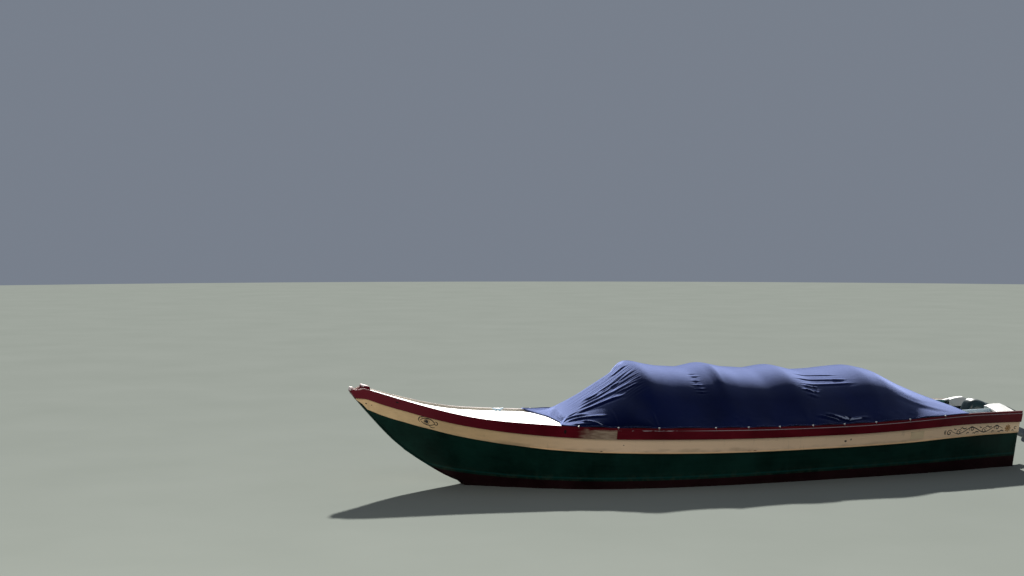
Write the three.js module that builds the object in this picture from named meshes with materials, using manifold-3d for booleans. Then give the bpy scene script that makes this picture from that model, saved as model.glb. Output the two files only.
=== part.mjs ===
// A flat-bottomed wooden work boat with a transom stern, a raised bow, a white foredeck, a
// cloth cover stretched over four hoops and a small outboard motor tilted up in its well.
// Millimetres. +X points to the bow, +Y to port, +Z up. The origin is on the underside of the
// flat bottom, amidships on the centreline. Places along the boat are given as "aft", the
// distance behind the tip of the stem, and heights as the height above the waterline.

import * as THREE from "three";
import { mergeVertices } from "three/addons/utils/BufferGeometryUtils.js";
import Module from "manifold-3d";

const wasm = await Module();
wasm.setup();

// Driving dimensions
const LENGTH = 7000; // stem tip to the aft face of the transom
const DRAUGHT = 170; // flat bottom below the waterline
const GAP = 0.3; // between pieces that bear on each other
const BOTTOM_THICK = 30;
const SIDE_THICK = 25;
const STRAKE_PROUD = 10;
const RAIL_THICK = 30; // of the toe rail; the fender part below its ledge is thicker
const RAIL_LEDGE = 8; // how far the fender part stands out past the toe rail
const TOE_RAIL = 25; // the rail's top above the deck edge
const DECK_THICK = 20;
const DECK_CROWN = 22; // rise of the foredeck at the centreline
const SIDE_DECK_WIDE = 180;
const STEM_HALF = 30;
const RABBET_HALF = STEM_HALF + GAP + SIDE_THICK; // outer face of the planks at the stem
const FRAME_WIDE = 44;
const FRAME_DEEP = 60; // floor timber
const FRAME_ARM = 42; // side arm
const FRAME_SIDE_GAP = 6; // the planks twist a little between stations
const THWART_SIDE_GAP = 4;
const BEAM_SIDE_GAP = 3;
const BEAM_FROM = 50; // the beam under the foredeck's end, ahead of that end
const BEAM_TO = 5;
const BEAM_DEEP = 70;
const FLOORBOARD_THICK = 18;
const FLOORBOARD_SIDE_GAP = 18; // inside the frames' arms
const FLOORBOARDS_FROM = 2120;
const FLOORBOARDS_TO = 6900;
const TRANSOM_THICK = 40;
const CUTOUT_HALF = 300; // motor well in the transom
const CUTOUT_TOP = 270; // above the waterline
const FOREDECK_END = 2300;
const COAMING_THICK = 20;
const COAMING_RISE = 10; // above the rail's top
const QUARTER_START = 6720;
const QUARTER_INNER = 330;
const QUARTER_RISE = 56; // inner edge above the rail's top
const QUARTER_FALL = 6880; // from here aft the inner edge falls away
const QUARTER_FALL_DEEP = 44;
const QUARTER_CHEEK = 105; // depth of the inner face
const CHEEK_THICK = 25;
const TARP_THICK = 6;
const HOOP_RADIUS = 13;
const HOOP_FOOT_GAP = 0.8; // the deck rises a little across the foot
const HOOP_INSET = 120; // hoop foot inside the rail's outer face
const TILT_UP = 68 * Math.PI / 180; // motor at rest, from its running position

// One row for each station of the hull: aft of the stem tip, the rail's outer half breadth and
// top height, the chine's half breadth and height, then how far the lower edges of the rail and
// of the strake under it lie below the rail's top.
const STATIONS = [
  // aft, railHalf, railTop, chineHalf, chineHeight, railDrop, strakeDrop
  [20, 62, 972, 32, 900, 48, 52],
  [62, 82, 962, 45, 860, 80, 95],
  [120, 107, 980, RABBET_HALF, 820, 103, 154],
  [170, 141, 967, RABBET_HALF, 767, 98, 196],
  [280, 215, 935, RABBET_HALF, 650, 105, 211],
  [500, 325, 867, RABBET_HALF, 420, 106, 219],
  [750, 435, 796, RABBET_HALF, 245, 103, 213],
  [1000, 530, 735, RABBET_HALF, 90, 102, 218],
  [1120, 571, 712, RABBET_HALF, 0, 101, 219],
  [1250, 612, 694, 100, -55, 103, 224],
  [1500, 680, 670, 235, -115, 110, 234],
  [1800, 745, 645, 420, -152, 114, 247],
  [2150, 812, 620, 590, -168, 113, 248],
  [2700, 880, 599, 720, -170, 112, 251],
  [3300, 920, 585, 762, -170, 112, 253],
  [3900, 930, 574, 750, -170, 110, 248],
  [4500, 920, 571, 705, -170, 108, 243],
  [5100, 889, 574, 650, -170, 109, 243],
  [5700, 832, 592, 595, -166, 111, 250],
  [6300, 748, 613, 520, -145, 115, 247],
  [7000, 620, 604, 420, -100, 118, 234],
].map(([aft, railHalf, railTop, chineHalf, chineHeight, railDrop, strakeDrop]) => ({
  aft,
  railHalf,
  railTop: railTop + DRAUGHT,
  chineHalf,
  chineHeight: chineHeight + DRAUGHT,
  railDrop,
  strakeDrop,
}));

// Top line of the cover: aft, height above the waterline
const COVER_LINE = [
  [1960, 652],
  [2130, 770],
  [2340, 888],
  [2550, 1030],
  [2700, 1118],
  [2850, 1172],
  [3140, 1118],
  [3410, 1095],
  [3630, 1140],
  [3870, 1090],
  [4130, 1069],
  [4390, 1104],
  [4640, 1046],
  [4920, 1050],
  [5270, 1078],
  [5470, 1037],
  [5720, 905],
  [6000, 785],
  [6280, 675],
];
const HOOPS_AFT = [2850, 3630, 4390, 5270];
const COVER_PEAK_LONG = 600; // from the first hoop forward to where the slopes are flat
const HOOP_FLAT = 15; // the cover lies level over this much either side of a hoop
const FRAMES_AFT = [2150, 2700, 3300, 3900, 4500, 5100, 5700, 6300];

// The stem's outer curve from the head down to the forefoot: aft, height above the waterline
const STEM_CURVE = [
  [0, 955],
  [50, 885],
  [170, 742],
  [290, 609],
  [420, 465],
  [550, 348],
  [720, 239],
  [890, 129],
  [1050, 38],
  [1120, 0],
];

const PLATE_FOOT = 216; // the blank plate's lower edge below the rail's top
const PLATE_TALL = 80;
const PLATE_THICKNESS = 4;
const PLATE_OFF = 0.8; // off the strake's face, which twists a little

const COLOURS = {
  green: 0x0b2a26,
  cream: 0xa8875f,
  maroon: 0x4f0f1c,
  white: 0xe8e8e4,
  teal: 0x2f6a66,
  wood: 0x7a6248,
  navy: 0x1a2350,
  steel: 0x8a8d90,
  motorDark: 0x1d2428,
  motorGrey: 0x565c60,
  plate: 0xb9b4a2,
};

function paint(colour, roughness = 0.6, metalness = 0) {
  return new THREE.MeshStandardMaterial({ color: colour, roughness, metalness });
}

const boat = new THREE.Group();

function addMesh(name, geometry, material, parent = boat) {
  const mesh = new THREE.Mesh(geometry, material);
  mesh.name = name;
  parent.add(mesh);
  return mesh;
}

const xOf = (aft) => LENGTH / 2 - aft;
const zOf = (height) => height + DRAUGHT;

function mixRows(a, b, t) {
  const row = {};
  for (const key of Object.keys(a)) row[key] = a[key] + (b[key] - a[key]) * t;
  return row;
}

// The hull's row of sizes at any distance aft
function hullAt(aft) {
  let i = 0;
  while (i < STATIONS.length - 2 && aft > STATIONS[i + 1].aft) i += 1;
  const t = (aft - STATIONS[i].aft) / (STATIONS[i + 1].aft - STATIONS[i].aft);
  return mixRows(STATIONS[i], STATIONS[i + 1], t);
}

// Half breadth of the outer face of the side planking at height z in that row
function sideHalf(row, z) {
  const top = row.railHalf - RAIL_THICK;
  const slope = (top - row.chineHalf) / (row.railTop - row.chineHeight);
  return row.chineHalf + slope * (z - row.chineHeight);
}

// Rings from one distance aft to another: both ends, the stations between them, and the places
// where a neighbour starts or ends, so that faces that bear on each other share their edges
const BOW_BLOCK_START = 45;
const BOW_STEP = 120; // where the planks start and the block rises behind the stem head
const BOW_BLOCK_END = 190;
const PLATE_START = 5600;
const PLATE_END = 5760;
const CUTS = [
  BOW_BLOCK_START, BOW_BLOCK_END, FOREDECK_END, PLATE_START, PLATE_END, QUARTER_START,
  QUARTER_FALL, LENGTH - TRANSOM_THICK,
];
function ringsBetween(from, to) {
  const places = [...STATIONS.map((row) => row.aft), ...CUTS].sort((a, b) => a - b);
  return [from, ...places.filter((aft) => aft > from + 1 && aft < to - 1), to];
}

function signedVolume(positions, index) {
  let volume = 0;
  const a = new THREE.Vector3();
  const b = new THREE.Vector3();
  const c = new THREE.Vector3();
  for (let i = 0; i < index.length; i += 3) {
    a.fromArray(positions, index[i] * 3);
    b.fromArray(positions, index[i + 1] * 3);
    c.fromArray(positions, index[i + 2] * 3);
    volume += a.dot(b.cross(c)) / 6;
  }
  return volume;
}

function bodyFrom(positions, index) {
  if (signedVolume(positions, index) < 0) index.reverse();
  const geometry = new THREE.BufferGeometry();
  geometry.setAttribute("position", new THREE.Float32BufferAttribute(positions, 3));
  geometry.setIndex(index);
  geometry.computeVertexNormals();
  return geometry;
}

// A closed body through rings of points, all with the same count, with flat ends. Each ring
// lies in a plane across the X axis, so its end is triangulated in Y and Z.
function loft(rings) {
  const count = rings[0].length;
  const positions = rings.flat(2);
  const index = [];
  for (let r = 0; r < rings.length - 1; r += 1) {
    for (let i = 0; i < count; i += 1) {
      const j = (i + 1) % count;
      const a = r * count + i;
      const b = r * count + j;
      // each four-sided patch is split from its lower corner forward to its upper corner aft
      if (rings[r][j][2] > rings[r][i][2]) index.push(a, b, b + count, a, b + count, a + count);
      else index.push(a, b, a + count, b, b + count, a + count);
    }
  }
  const contour = rings[0].map(([, y, z]) => new THREE.Vector2(y, z));
  const clockwise = THREE.ShapeUtils.isClockWise(contour);
  const capTriangles = THREE.ShapeUtils.triangulateShape(contour, []);
  const last = (rings.length - 1) * count;
  for (const [a, b, c] of capTriangles) {
    const near = clockwise ? [c, b, a] : [a, b, c];
    index.push(near[2], near[1], near[0]);
    index.push(last + near[0], last + near[1], last + near[2]);
  }
  return bodyFrom(positions, index);
}

// A body that runs along the boat: section(row) gives its [half breadth, z] points
function alongHull(from, to, section, side = 1) {
  const rings = ringsBetween(from, to).map((aft) => {
    const row = hullAt(aft);
    return section(row, aft).map(([half, z]) => [xOf(aft), half * side, z]);
  });
  return loft(rings);
}

// Solid of manifold-3d from a geometry placed by a matrix
function solidOf(geometry, matrix = new THREE.Matrix4()) {
  let bare = geometry.clone();
  bare.deleteAttribute("normal");
  bare.deleteAttribute("uv");
  bare = mergeVertices(bare, 1e-4);
  bare.applyMatrix4(matrix);
  return new wasm.Manifold(new wasm.Mesh({
    numProp: 3,
    vertProperties: new Float32Array(bare.attributes.position.array),
    triVerts: new Uint32Array(bare.index.array),
  }));
}

function geometryOf(solid) {
  const mesh = solid.getMesh();
  const geometry = new THREE.BufferGeometry();
  geometry.setAttribute("position", new THREE.Float32BufferAttribute(mesh.vertProperties, 3));
  geometry.setIndex(Array.from(mesh.triVerts));
  geometry.computeVertexNormals();
  return geometry;
}

const move = (x, y, z) => new THREE.Matrix4().makeTranslation(x, y, z);
const turn = (axis, angle) => {
  const matrix = new THREE.Matrix4();
  matrix[`makeRotation${axis}`](angle);
  return matrix;
};

// An upright box between two corners
function boxBetween(low, high) {
  const size = high.map((value, i) => value - low[i]);
  const centre = high.map((value, i) => (value + low[i]) / 2);
  return solidOf(new THREE.BoxGeometry(...size), move(...centre));
}

// A cylinder along an axis, centred at a point
function rodAlong(axis, radius, length, centre, sides = 16) {
  const placed = move(...centre);
  if (axis === "X") placed.multiply(turn("Z", Math.PI / 2));
  if (axis === "Z") placed.multiply(turn("X", Math.PI / 2));
  return solidOf(new THREE.CylinderGeometry(radius, radius, length, sides), placed);
}

// A flat plate of an XZ outline, with a thickness across Y
function sidePlate(outline, halfThick) {
  const shape = new THREE.Shape(outline.map(([x, z]) => new THREE.Vector2(x, z)));
  const plate = new THREE.ExtrudeGeometry(shape, { depth: 2 * halfThick, bevelEnabled: false });
  return solidOf(plate, move(0, halfThick, 0).multiply(turn("X", Math.PI / 2)));
}

// Hull planking, strakes and rails

const PLANK_TOP = TOE_RAIL + DECK_THICK + GAP; // below the rail's top
const RAIL_START = 20;
const STRAKE_START = 62;
const FOREFOOT_AFT = 1120; // where the stem meets the flat bottom
const RAIL_FLARE = 4; // the rail's foot is narrower than its ledge by this much
const PLANK_END = LENGTH - TRANSOM_THICK - GAP;

function bottomSection(row) {
  const low = row.chineHeight;
  const edge = (z) => sideHalf(row, z);
  return [
    [-edge(low), low],
    [edge(low), low],
    [edge(low + BOTTOM_THICK), low + BOTTOM_THICK],
    [-edge(low + BOTTOM_THICK), low + BOTTOM_THICK],
  ];
}

function planksSection(row, aft) {
  const foot = aft < FOREFOOT_AFT ? row.chineHeight : row.chineHeight + BOTTOM_THICK + GAP;
  const top = row.railTop - PLANK_TOP;
  const outer = [
    foot, row.railTop - row.strakeDrop, row.railTop - row.railDrop, top,
  ].map((z) => [sideHalf(row, z), z]);
  const inner = [
    [sideHalf(row, top) - SIDE_THICK, top],
    [sideHalf(row, foot) - SIDE_THICK, foot],
  ];
  return [...outer, ...inner];
}

// Ahead of the planks the strake is thicker and bears on the stem post itself
function strakeSection(row, aft) {
  const foot = row.railTop - row.strakeDrop;
  const top = row.railTop - row.railDrop - GAP;
  const inner = (z) => (aft < BOW_STEP - 1 ? STEM_HALF : sideHalf(row, z)) + GAP;
  return [
    [inner(foot), foot],
    [sideHalf(row, foot) + STRAKE_PROUD, foot],
    [sideHalf(row, top) + STRAKE_PROUD, top],
    [inner(top), top],
  ];
}

// The fender part of the rail grows out of the toe rail from the bow aft
function railSection(row, aft) {
  const ledge = THREE.MathUtils.clamp((aft - 1500) / 1200, 0.02, 1) * RAIL_LEDGE;
  const top = row.railTop;
  const step = top - TOE_RAIL;
  const foot = top - row.railDrop;
  return [
    [sideHalf(row, foot) + GAP, foot],
    [sideHalf(row, foot) + RAIL_THICK - RAIL_FLARE + ledge, foot],
    [sideHalf(row, step) + RAIL_THICK + ledge, step],
    [sideHalf(row, step) + RAIL_THICK, step],
    [sideHalf(row, top) + RAIL_THICK, top],
    [sideHalf(row, top) + GAP, top],
    [sideHalf(row, step) + GAP, step],
    [sideHalf(row, top - PLANK_TOP) + GAP, top - PLANK_TOP],
  ];
}

addMesh(
  "bottom_planking",
  alongHull(FOREFOOT_AFT + GAP, PLANK_END, bottomSection),
  paint(COLOURS.green),
);
for (const [label, side] of [["port", 1], ["starboard", -1]]) {
  addMesh(
    `side_planking_${label}`,
    alongHull(BOW_STEP, PLANK_END, planksSection, side),
    paint(COLOURS.green),
  );
  addMesh(
    `sheer_strake_${label}`,
    alongHull(STRAKE_START, LENGTH, strakeSection, side),
    paint(COLOURS.cream),
  );
  addMesh(
    `rub_rail_${label}`,
    alongHull(RAIL_START, LENGTH, railSection, side),
    paint(COLOURS.maroon),
  );
}

// Stem post with its notched head, and the block that holds it between the rails

const STEM_HEAD = [
  [8, 988],
  [36, 986],
  [52, 962],
  [72, 954],
  [98, 955],
  [BOW_STEP - GAP, 966],
  [BOW_STEP - GAP, 880],
];
const STEM_INNER = [
  [255, 790],
  [400, 625],
  [530, 490],
  [660, 388],
  [830, 282],
  [1000, 178],
  [1130, 100],
  [1420, 0],
];
const STEM_FOOT = [[1120, 31], [1260, -22], [1420, -62]];

const stemOutline = [
  ...STEM_CURVE, ...STEM_FOOT, ...STEM_INNER.toReversed(), ...STEM_HEAD.toReversed(),
].map(([aft, height]) => [xOf(aft), zOf(height)]);
addMesh("stem_post", geometryOf(sidePlate(stemOutline, STEM_HALF)), paint(COLOURS.maroon));

const BLOCK_RISE = 30; // above the rail's top, behind the stem head
const BLOCK_RAMP = 6; // length of the step up
function bowBlockSection(row, aft) {
  const rise = aft < BOW_STEP - 1 ? -8 : BLOCK_RISE;
  const foot = row.railTop - TOE_RAIL - DECK_THICK;
  const right = [foot, row.railTop - TOE_RAIL, row.railTop - 10].map((z) => [sideHalf(row, z), z]);
  right.push([sideHalf(row, foot) * 0.8, row.railTop + rise]);
  return [...right, ...right.map(([half, z]) => [-half, z]).reverse()];
}
function bowBlock() {
  const places = [BOW_BLOCK_START, 62, BOW_STEP - BLOCK_RAMP, BOW_STEP, 170, BOW_BLOCK_END];
  const rings = places.map((aft) => {
    const row = hullAt(aft);
    return bowBlockSection(row, aft).map(([y, z]) => [xOf(aft), y, z]);
  });
  const slotHalf = STEM_HALF + GAP;
  const slot = boxBetween([xOf(BOW_STEP), -slotHalf, zOf(800)], [xOf(0), slotHalf, zOf(1100)]);
  return solidOf(loft(rings)).subtract(slot);
}
addMesh("bow_block", geometryOf(bowBlock()), paint(COLOURS.maroon));

// Decks

function foredeckSection(row) {
  const top = row.railTop - TOE_RAIL;
  const foot = top - DECK_THICK;
  const half = (z) => sideHalf(row, z);
  return [
    [-half(foot), foot],
    [0, foot + DECK_CROWN],
    [half(foot), foot],
    [half(top), top],
    [0, top + DECK_CROWN],
    [-half(top), top],
  ];
}
addMesh(
  "foredeck",
  alongHull(BOW_BLOCK_END + GAP, FOREDECK_END, foredeckSection),
  paint(COLOURS.white),
);

const sideDeckInner = (row) => row.railHalf - RAIL_THICK - SIDE_DECK_WIDE;

function foredeckBeamSection(row) {
  const top = row.railTop - TOE_RAIL - DECK_THICK - GAP;
  const foot = top - BEAM_DEEP;
  const half = (z) => sideHalf(row, z) - SIDE_THICK - BEAM_SIDE_GAP;
  return [
    [-half(foot), foot],
    [half(foot), foot],
    [half(top), top],
    [0, top + DECK_CROWN],
    [-half(top), top],
  ];
}
addMesh(
  "foredeck_beam",
  alongHull(FOREDECK_END - BEAM_FROM, FOREDECK_END - BEAM_TO, foredeckBeamSection),
  paint(COLOURS.teal),
);

function sideDeckSection(row) {
  const top = row.railTop - TOE_RAIL;
  const foot = top - DECK_THICK;
  return [
    [sideDeckInner(row) + GAP, foot],
    [sideHalf(row, foot), foot],
    [sideHalf(row, top), top],
    [sideDeckInner(row) + GAP, top],
  ];
}

function coamingSection(row) {
  const top = row.railTop + COAMING_RISE;
  const foot = row.railTop - TOE_RAIL - DECK_THICK - 20;
  const half = sideDeckInner(row);
  return [
    [half - COAMING_THICK, foot],
    [half, foot],
    [half, top],
    [half - COAMING_THICK, top],
  ];
}

// Height of the quarter decks' inner edge above the rail's top
function quarterRise(aft) {
  const fall = THREE.MathUtils.clamp((aft - QUARTER_FALL) / (LENGTH - QUARTER_FALL), 0, 1);
  return QUARTER_RISE - fall * QUARTER_FALL_DEEP;
}

function quarterDeckSection(row, aft) {
  const outer = row.railTop - TOE_RAIL;
  const inner = row.railTop + quarterRise(aft);
  return [
    [QUARTER_INNER, inner - QUARTER_CHEEK],
    [QUARTER_INNER + CHEEK_THICK, inner - QUARTER_CHEEK],
    [QUARTER_INNER + CHEEK_THICK, inner - DECK_THICK - 4],
    [sideHalf(row, outer - DECK_THICK), outer - DECK_THICK],
    [sideHalf(row, outer), outer],
    [QUARTER_INNER + 40, inner],
    [QUARTER_INNER, inner - 6],
  ];
}

for (const [label, side] of [["port", 1], ["starboard", -1]]) {
  addMesh(
    `side_deck_${label}`,
    alongHull(FOREDECK_END + GAP, QUARTER_START - GAP, sideDeckSection, side),
    paint(COLOURS.white),
  );
  addMesh(
    `coaming_${label}`,
    alongHull(FOREDECK_END + GAP, QUARTER_START - GAP, coamingSection, side),
    paint(COLOURS.teal),
  );
  addMesh(
    `quarter_deck_${label}`,
    alongHull(QUARTER_START, LENGTH - TRANSOM_THICK - GAP, quarterDeckSection, side),
    paint(COLOURS.white),
  );
}

// Transom with the motor cut-out

function transomSection(row, aft) {
  const low = row.chineHeight;
  const shoulder = row.railTop - TOE_RAIL;
  const inner = row.railTop + quarterRise(aft);
  const cut = zOf(CUTOUT_TOP);
  const right = [
    [sideHalf(row, low), low],
    [sideHalf(row, shoulder), shoulder],
    [QUARTER_INNER + 40, inner],
    [CUTOUT_HALF + 8, inner - 4],
    [CUTOUT_HALF, cut + 30],
    [CUTOUT_HALF - 30, cut],
  ];
  const left = right.map(([half, z]) => [-half, z]).reverse();
  return [...right, ...left];
}
addMesh(
  "transom",
  alongHull(LENGTH - TRANSOM_THICK, LENGTH, transomSection),
  paint(COLOURS.green),
);

// Frames, floorboards and thwarts

const FRAME_TOP = 100; // frame heads below the rail's top
function frameSection(row) {
  const foot = row.chineHeight + BOTTOM_THICK + GAP;
  const top = row.railTop - FRAME_TOP;
  const outer = (z) => sideHalf(row, z) - SIDE_THICK - FRAME_SIDE_GAP;
  const right = [
    [outer(foot), foot],
    [outer(top), top],
    [outer(top) - FRAME_ARM, top],
    [outer(foot + FRAME_DEEP) - FRAME_ARM, foot + FRAME_DEEP],
  ];
  const left = right.map(([half, z]) => [-half, z]).reverse();
  return [...right, ...left];
}

FRAMES_AFT.forEach((aft, i) => {
  const rings = [aft - FRAME_WIDE / 2, aft, aft + FRAME_WIDE / 2].map((place) => {
    const row = hullAt(place);
    return frameSection(row).map(([y, z]) => [xOf(place), y, z]);
  });
  addMesh(`frame_${i + 1}`, loft(rings), paint(COLOURS.teal));
});

function floorboardSection(row) {
  const foot = row.chineHeight + BOTTOM_THICK + FRAME_DEEP + 2 * GAP;
  const half = row.chineHalf - SIDE_THICK - FRAME_ARM - FLOORBOARD_SIDE_GAP;
  return [
    [-half, foot],
    [half, foot],
    [half, foot + FLOORBOARD_THICK],
    [-half, foot + FLOORBOARD_THICK],
  ];
}
addMesh(
  "floorboards",
  alongHull(FLOORBOARDS_FROM, FLOORBOARDS_TO, floorboardSection),
  paint(COLOURS.wood, 0.8),
);

// Each thwart is a plank that rests on the heads of one frame
const THWART_THICK = 32;
const THWART_HALF = 120;
const THWARTS = [["thwart_fore", 3300], ["thwart_middle", 4500], ["thwart_aft", 6300]];
function thwartSection(row) {
  const foot = row.railTop - FRAME_TOP + GAP;
  const top = foot + THWART_THICK;
  const half = (z) => sideHalf(row, z) - SIDE_THICK - THWART_SIDE_GAP;
  return [
    [-half(foot), foot],
    [half(foot), foot],
    [half(top), top],
    [-half(top), top],
  ];
}
for (const [name, aft] of THWARTS) {
  const plank = alongHull(aft - THWART_HALF, aft + THWART_HALF, thwartSection);
  addMesh(name, plank, paint(COLOURS.teal));
}

// Hoops and the cover stretched over them

const COVER_ROWS = COVER_LINE.flatMap(([aft, top]) => (
  HOOPS_AFT.includes(aft) ? [[aft - HOOP_FLAT, top], [aft + HOOP_FLAT, top]] : [[aft, top]]
));

function coverTop(aft) {
  let i = 0;
  while (i < COVER_ROWS.length - 2 && aft > COVER_ROWS[i + 1][0]) i += 1;
  const [a, b] = [COVER_ROWS[i], COVER_ROWS[i + 1]];
  return zOf(a[1] + ((b[1] - a[1]) * (aft - a[0])) / (b[0] - a[0]));
}

class HoopCurve extends THREE.Curve {
  constructor(aft) {
    super();
    const row = hullAt(aft);
    this.x = xOf(aft);
    this.half = row.railHalf - HOOP_INSET;
    this.foot = row.railTop - TOE_RAIL + HOOP_FOOT_GAP;
    this.rise = coverTop(aft) - TARP_THICK - GAP - HOOP_RADIUS - this.foot;
  }

  getPoint(t, target = new THREE.Vector3()) {
    const angle = Math.PI * t;
    return target.set(
      this.x,
      this.half * Math.cos(angle),
      this.foot + this.rise * Math.sin(angle),
    );
  }
}

const HOOP_SIDES = 8;
HOOPS_AFT.forEach((aft, i) => {
  const section = new THREE.Shape();
  section.absarc(0, 0, HOOP_RADIUS, 0, 2 * Math.PI);
  const geometry = new THREE.ExtrudeGeometry(section, {
    steps: 20,
    curveSegments: HOOP_SIDES,
    extrudePath: new HoopCurve(aft),
  });
  addMesh(`hoop_${i + 1}`, geometry, paint(COLOURS.steel, 0.45, 0.6));
});

// The cover's section: a straight run up from the rail to where it meets the hoop, then round.
// Angles are measured round the hoop from its foot.
const COVER_ANGLES = [27, 40, 54, 68, 80, 90, 100, 112, 126, 140, 153];
const COVER_SPREAD = 1.012; // keeps the flat facets outside the round hoops

// Height of the cover over its hem, as a share, at a share of its half breadth. It is round over
// the hoops, and ahead of the first hoop it draws out to two flat slopes from a ridge.
function coverShare(aft, out) {
  const peak = THREE.MathUtils.clamp((HOOPS_AFT[0] - aft) / COVER_PEAK_LONG, 0, 1);
  return (1 - out ** (2 - 0.75 * peak)) ** (0.5 + 0.5 * peak);
}

function coverSection(aft, inner) {
  const row = hullAt(aft);
  const lift = inner ? 0 : TARP_THICK;
  const hemHalf = row.railHalf - 4;
  const hemZ = row.railTop + GAP + lift;
  const top = coverTop(aft) - TARP_THICK + lift;
  const base = row.railTop - TOE_RAIL;
  const half = row.railHalf - HOOP_INSET + HOOP_RADIUS + GAP + lift;
  const low = aft < HOOPS_AFT[0] - HOOP_FLAT || aft > HOOPS_AFT[3] + HOOP_FLAT;
  const points = [[hemHalf, hemZ]];
  for (const degrees of COVER_ANGLES) {
    const angle = THREE.MathUtils.degToRad(degrees);
    const spread = degrees === 90 ? 1 : COVER_SPREAD;
    let z = base + (top - base) * Math.sin(angle) * spread;
    if (low) z = hemZ + (top - hemZ) * coverShare(aft, Math.abs(Math.cos(angle)));
    points.push([half * spread * Math.cos(angle), z]);
  }
  points.push([-hemHalf, hemZ]);
  return points;
}

function coverGeometry() {
  const rows = COVER_ROWS.map(([aft]) => aft);
  const columns = COVER_ANGLES.length + 2;
  const positions = [];
  const index = [];
  for (const inner of [false, true]) {
    for (const aft of rows) {
      for (const [y, z] of coverSection(aft, inner)) positions.push(xOf(aft), y, z);
    }
  }
  const innerStart = rows.length * columns;
  const at = (r, c, inner) => (inner ? innerStart : 0) + r * columns + c;
  const quad = (a, b, c, d) => index.push(a, b, c, a, c, d);
  for (let r = 0; r < rows.length - 1; r += 1) {
    for (let c = 0; c < columns - 1; c += 1) {
      quad(at(r, c), at(r, c + 1), at(r + 1, c + 1), at(r + 1, c));
      quad(at(r, c, true), at(r + 1, c, true), at(r + 1, c + 1, true), at(r, c + 1, true));
    }
    for (const c of [0, columns - 1]) {
      const edge = [at(r, c), at(r + 1, c), at(r + 1, c, true), at(r, c, true)];
      if (c > 0) edge.reverse();
      quad(...edge);
    }
  }
  for (let c = 0; c < columns - 1; c += 1) {
    quad(at(0, c, true), at(0, c + 1, true), at(0, c + 1), at(0, c));
    const r = rows.length - 1;
    quad(at(r, c), at(r, c + 1), at(r, c + 1, true), at(r, c, true));
  }
  return bodyFrom(positions, index);
}
addMesh("cover", coverGeometry(), paint(COLOURS.navy, 0.9));

// Blank registration plate on the port strake
function plateSection(row) {
  const foot = row.railTop - PLATE_FOOT;
  const top = foot + PLATE_TALL;
  const out = STRAKE_PROUD + PLATE_OFF;
  return [
    [sideHalf(row, foot) + out, foot],
    [sideHalf(row, foot) + out + PLATE_THICKNESS, foot],
    [sideHalf(row, top) + out + PLATE_THICKNESS, top],
    [sideHalf(row, top) + out, top],
  ];
}
addMesh(
  "registration_plate",
  alongHull(PLATE_START, PLATE_END, plateSection),
  paint(COLOURS.plate),
);

// Outboard motor. Its moving pieces are drawn in the running position about the tilt axis,
// with X forward and Z up, and then turned up about that axis.

const TILT_AFT = LENGTH + 50;
const TILT_HEIGHT = CUTOUT_TOP + 5;
const STEER_X = -60;
const EAR_INNER = 70;
const EAR_OUTER = 82;
const PIVOT_RADIUS = 10.5;
const SWIVEL_LOW = -190;
const SWIVEL_HIGH = 55;
const HEAD_FRONT = -2; // short enough to swing past the clamp when the motor is tilted up
const HEAD_BACK = -175;
const HEAD_HALF = 34;
const COWL_FRONT = 20;
const COWL_BACK = -290;
const COWL_LOW = 125;
const COWL_HIGH = 450;
const COWL_HALF = 130;
const SHAFT_RADIUS = 14;
const SWIVEL_PLAY = 1.5; // between the swivel tube's ends and the leg
const COLUMN_FRONT = -95;
const COLUMN_BACK = -190;
const SPLASH_PLATE_Z = -388; // top of the plate over the propeller
const SPLASH_PLATE_THICK = 6;
const GEARCASE_Z = -500;
const GEARCASE_BACK = -236;
const GEARCASE_PROFILE = [
  // radius, along the shaft towards the nose
  [0, -81],
  [30, -81],
  [38, -60],
  [38, 0],
  [36, 30],
  [28, 66],
  [14, 88],
  [0, 95],
];
const SKEG_OUTLINE = [[-90, -520], [-205, -520], [-225, -606], [-195, -612], [-130, -560]];
const SKEG_HALF = 4;
const PROPELLER_RADIUS = 98;
const PROPELLER_BLADES = 3;
const HUB_RADIUS = 26;
const HUB_LONG = 58;
const BLADE_PITCH = 0.5; // radians

const tiltX = xOf(TILT_AFT);
const tiltZ = zOf(TILT_HEIGHT);

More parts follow.
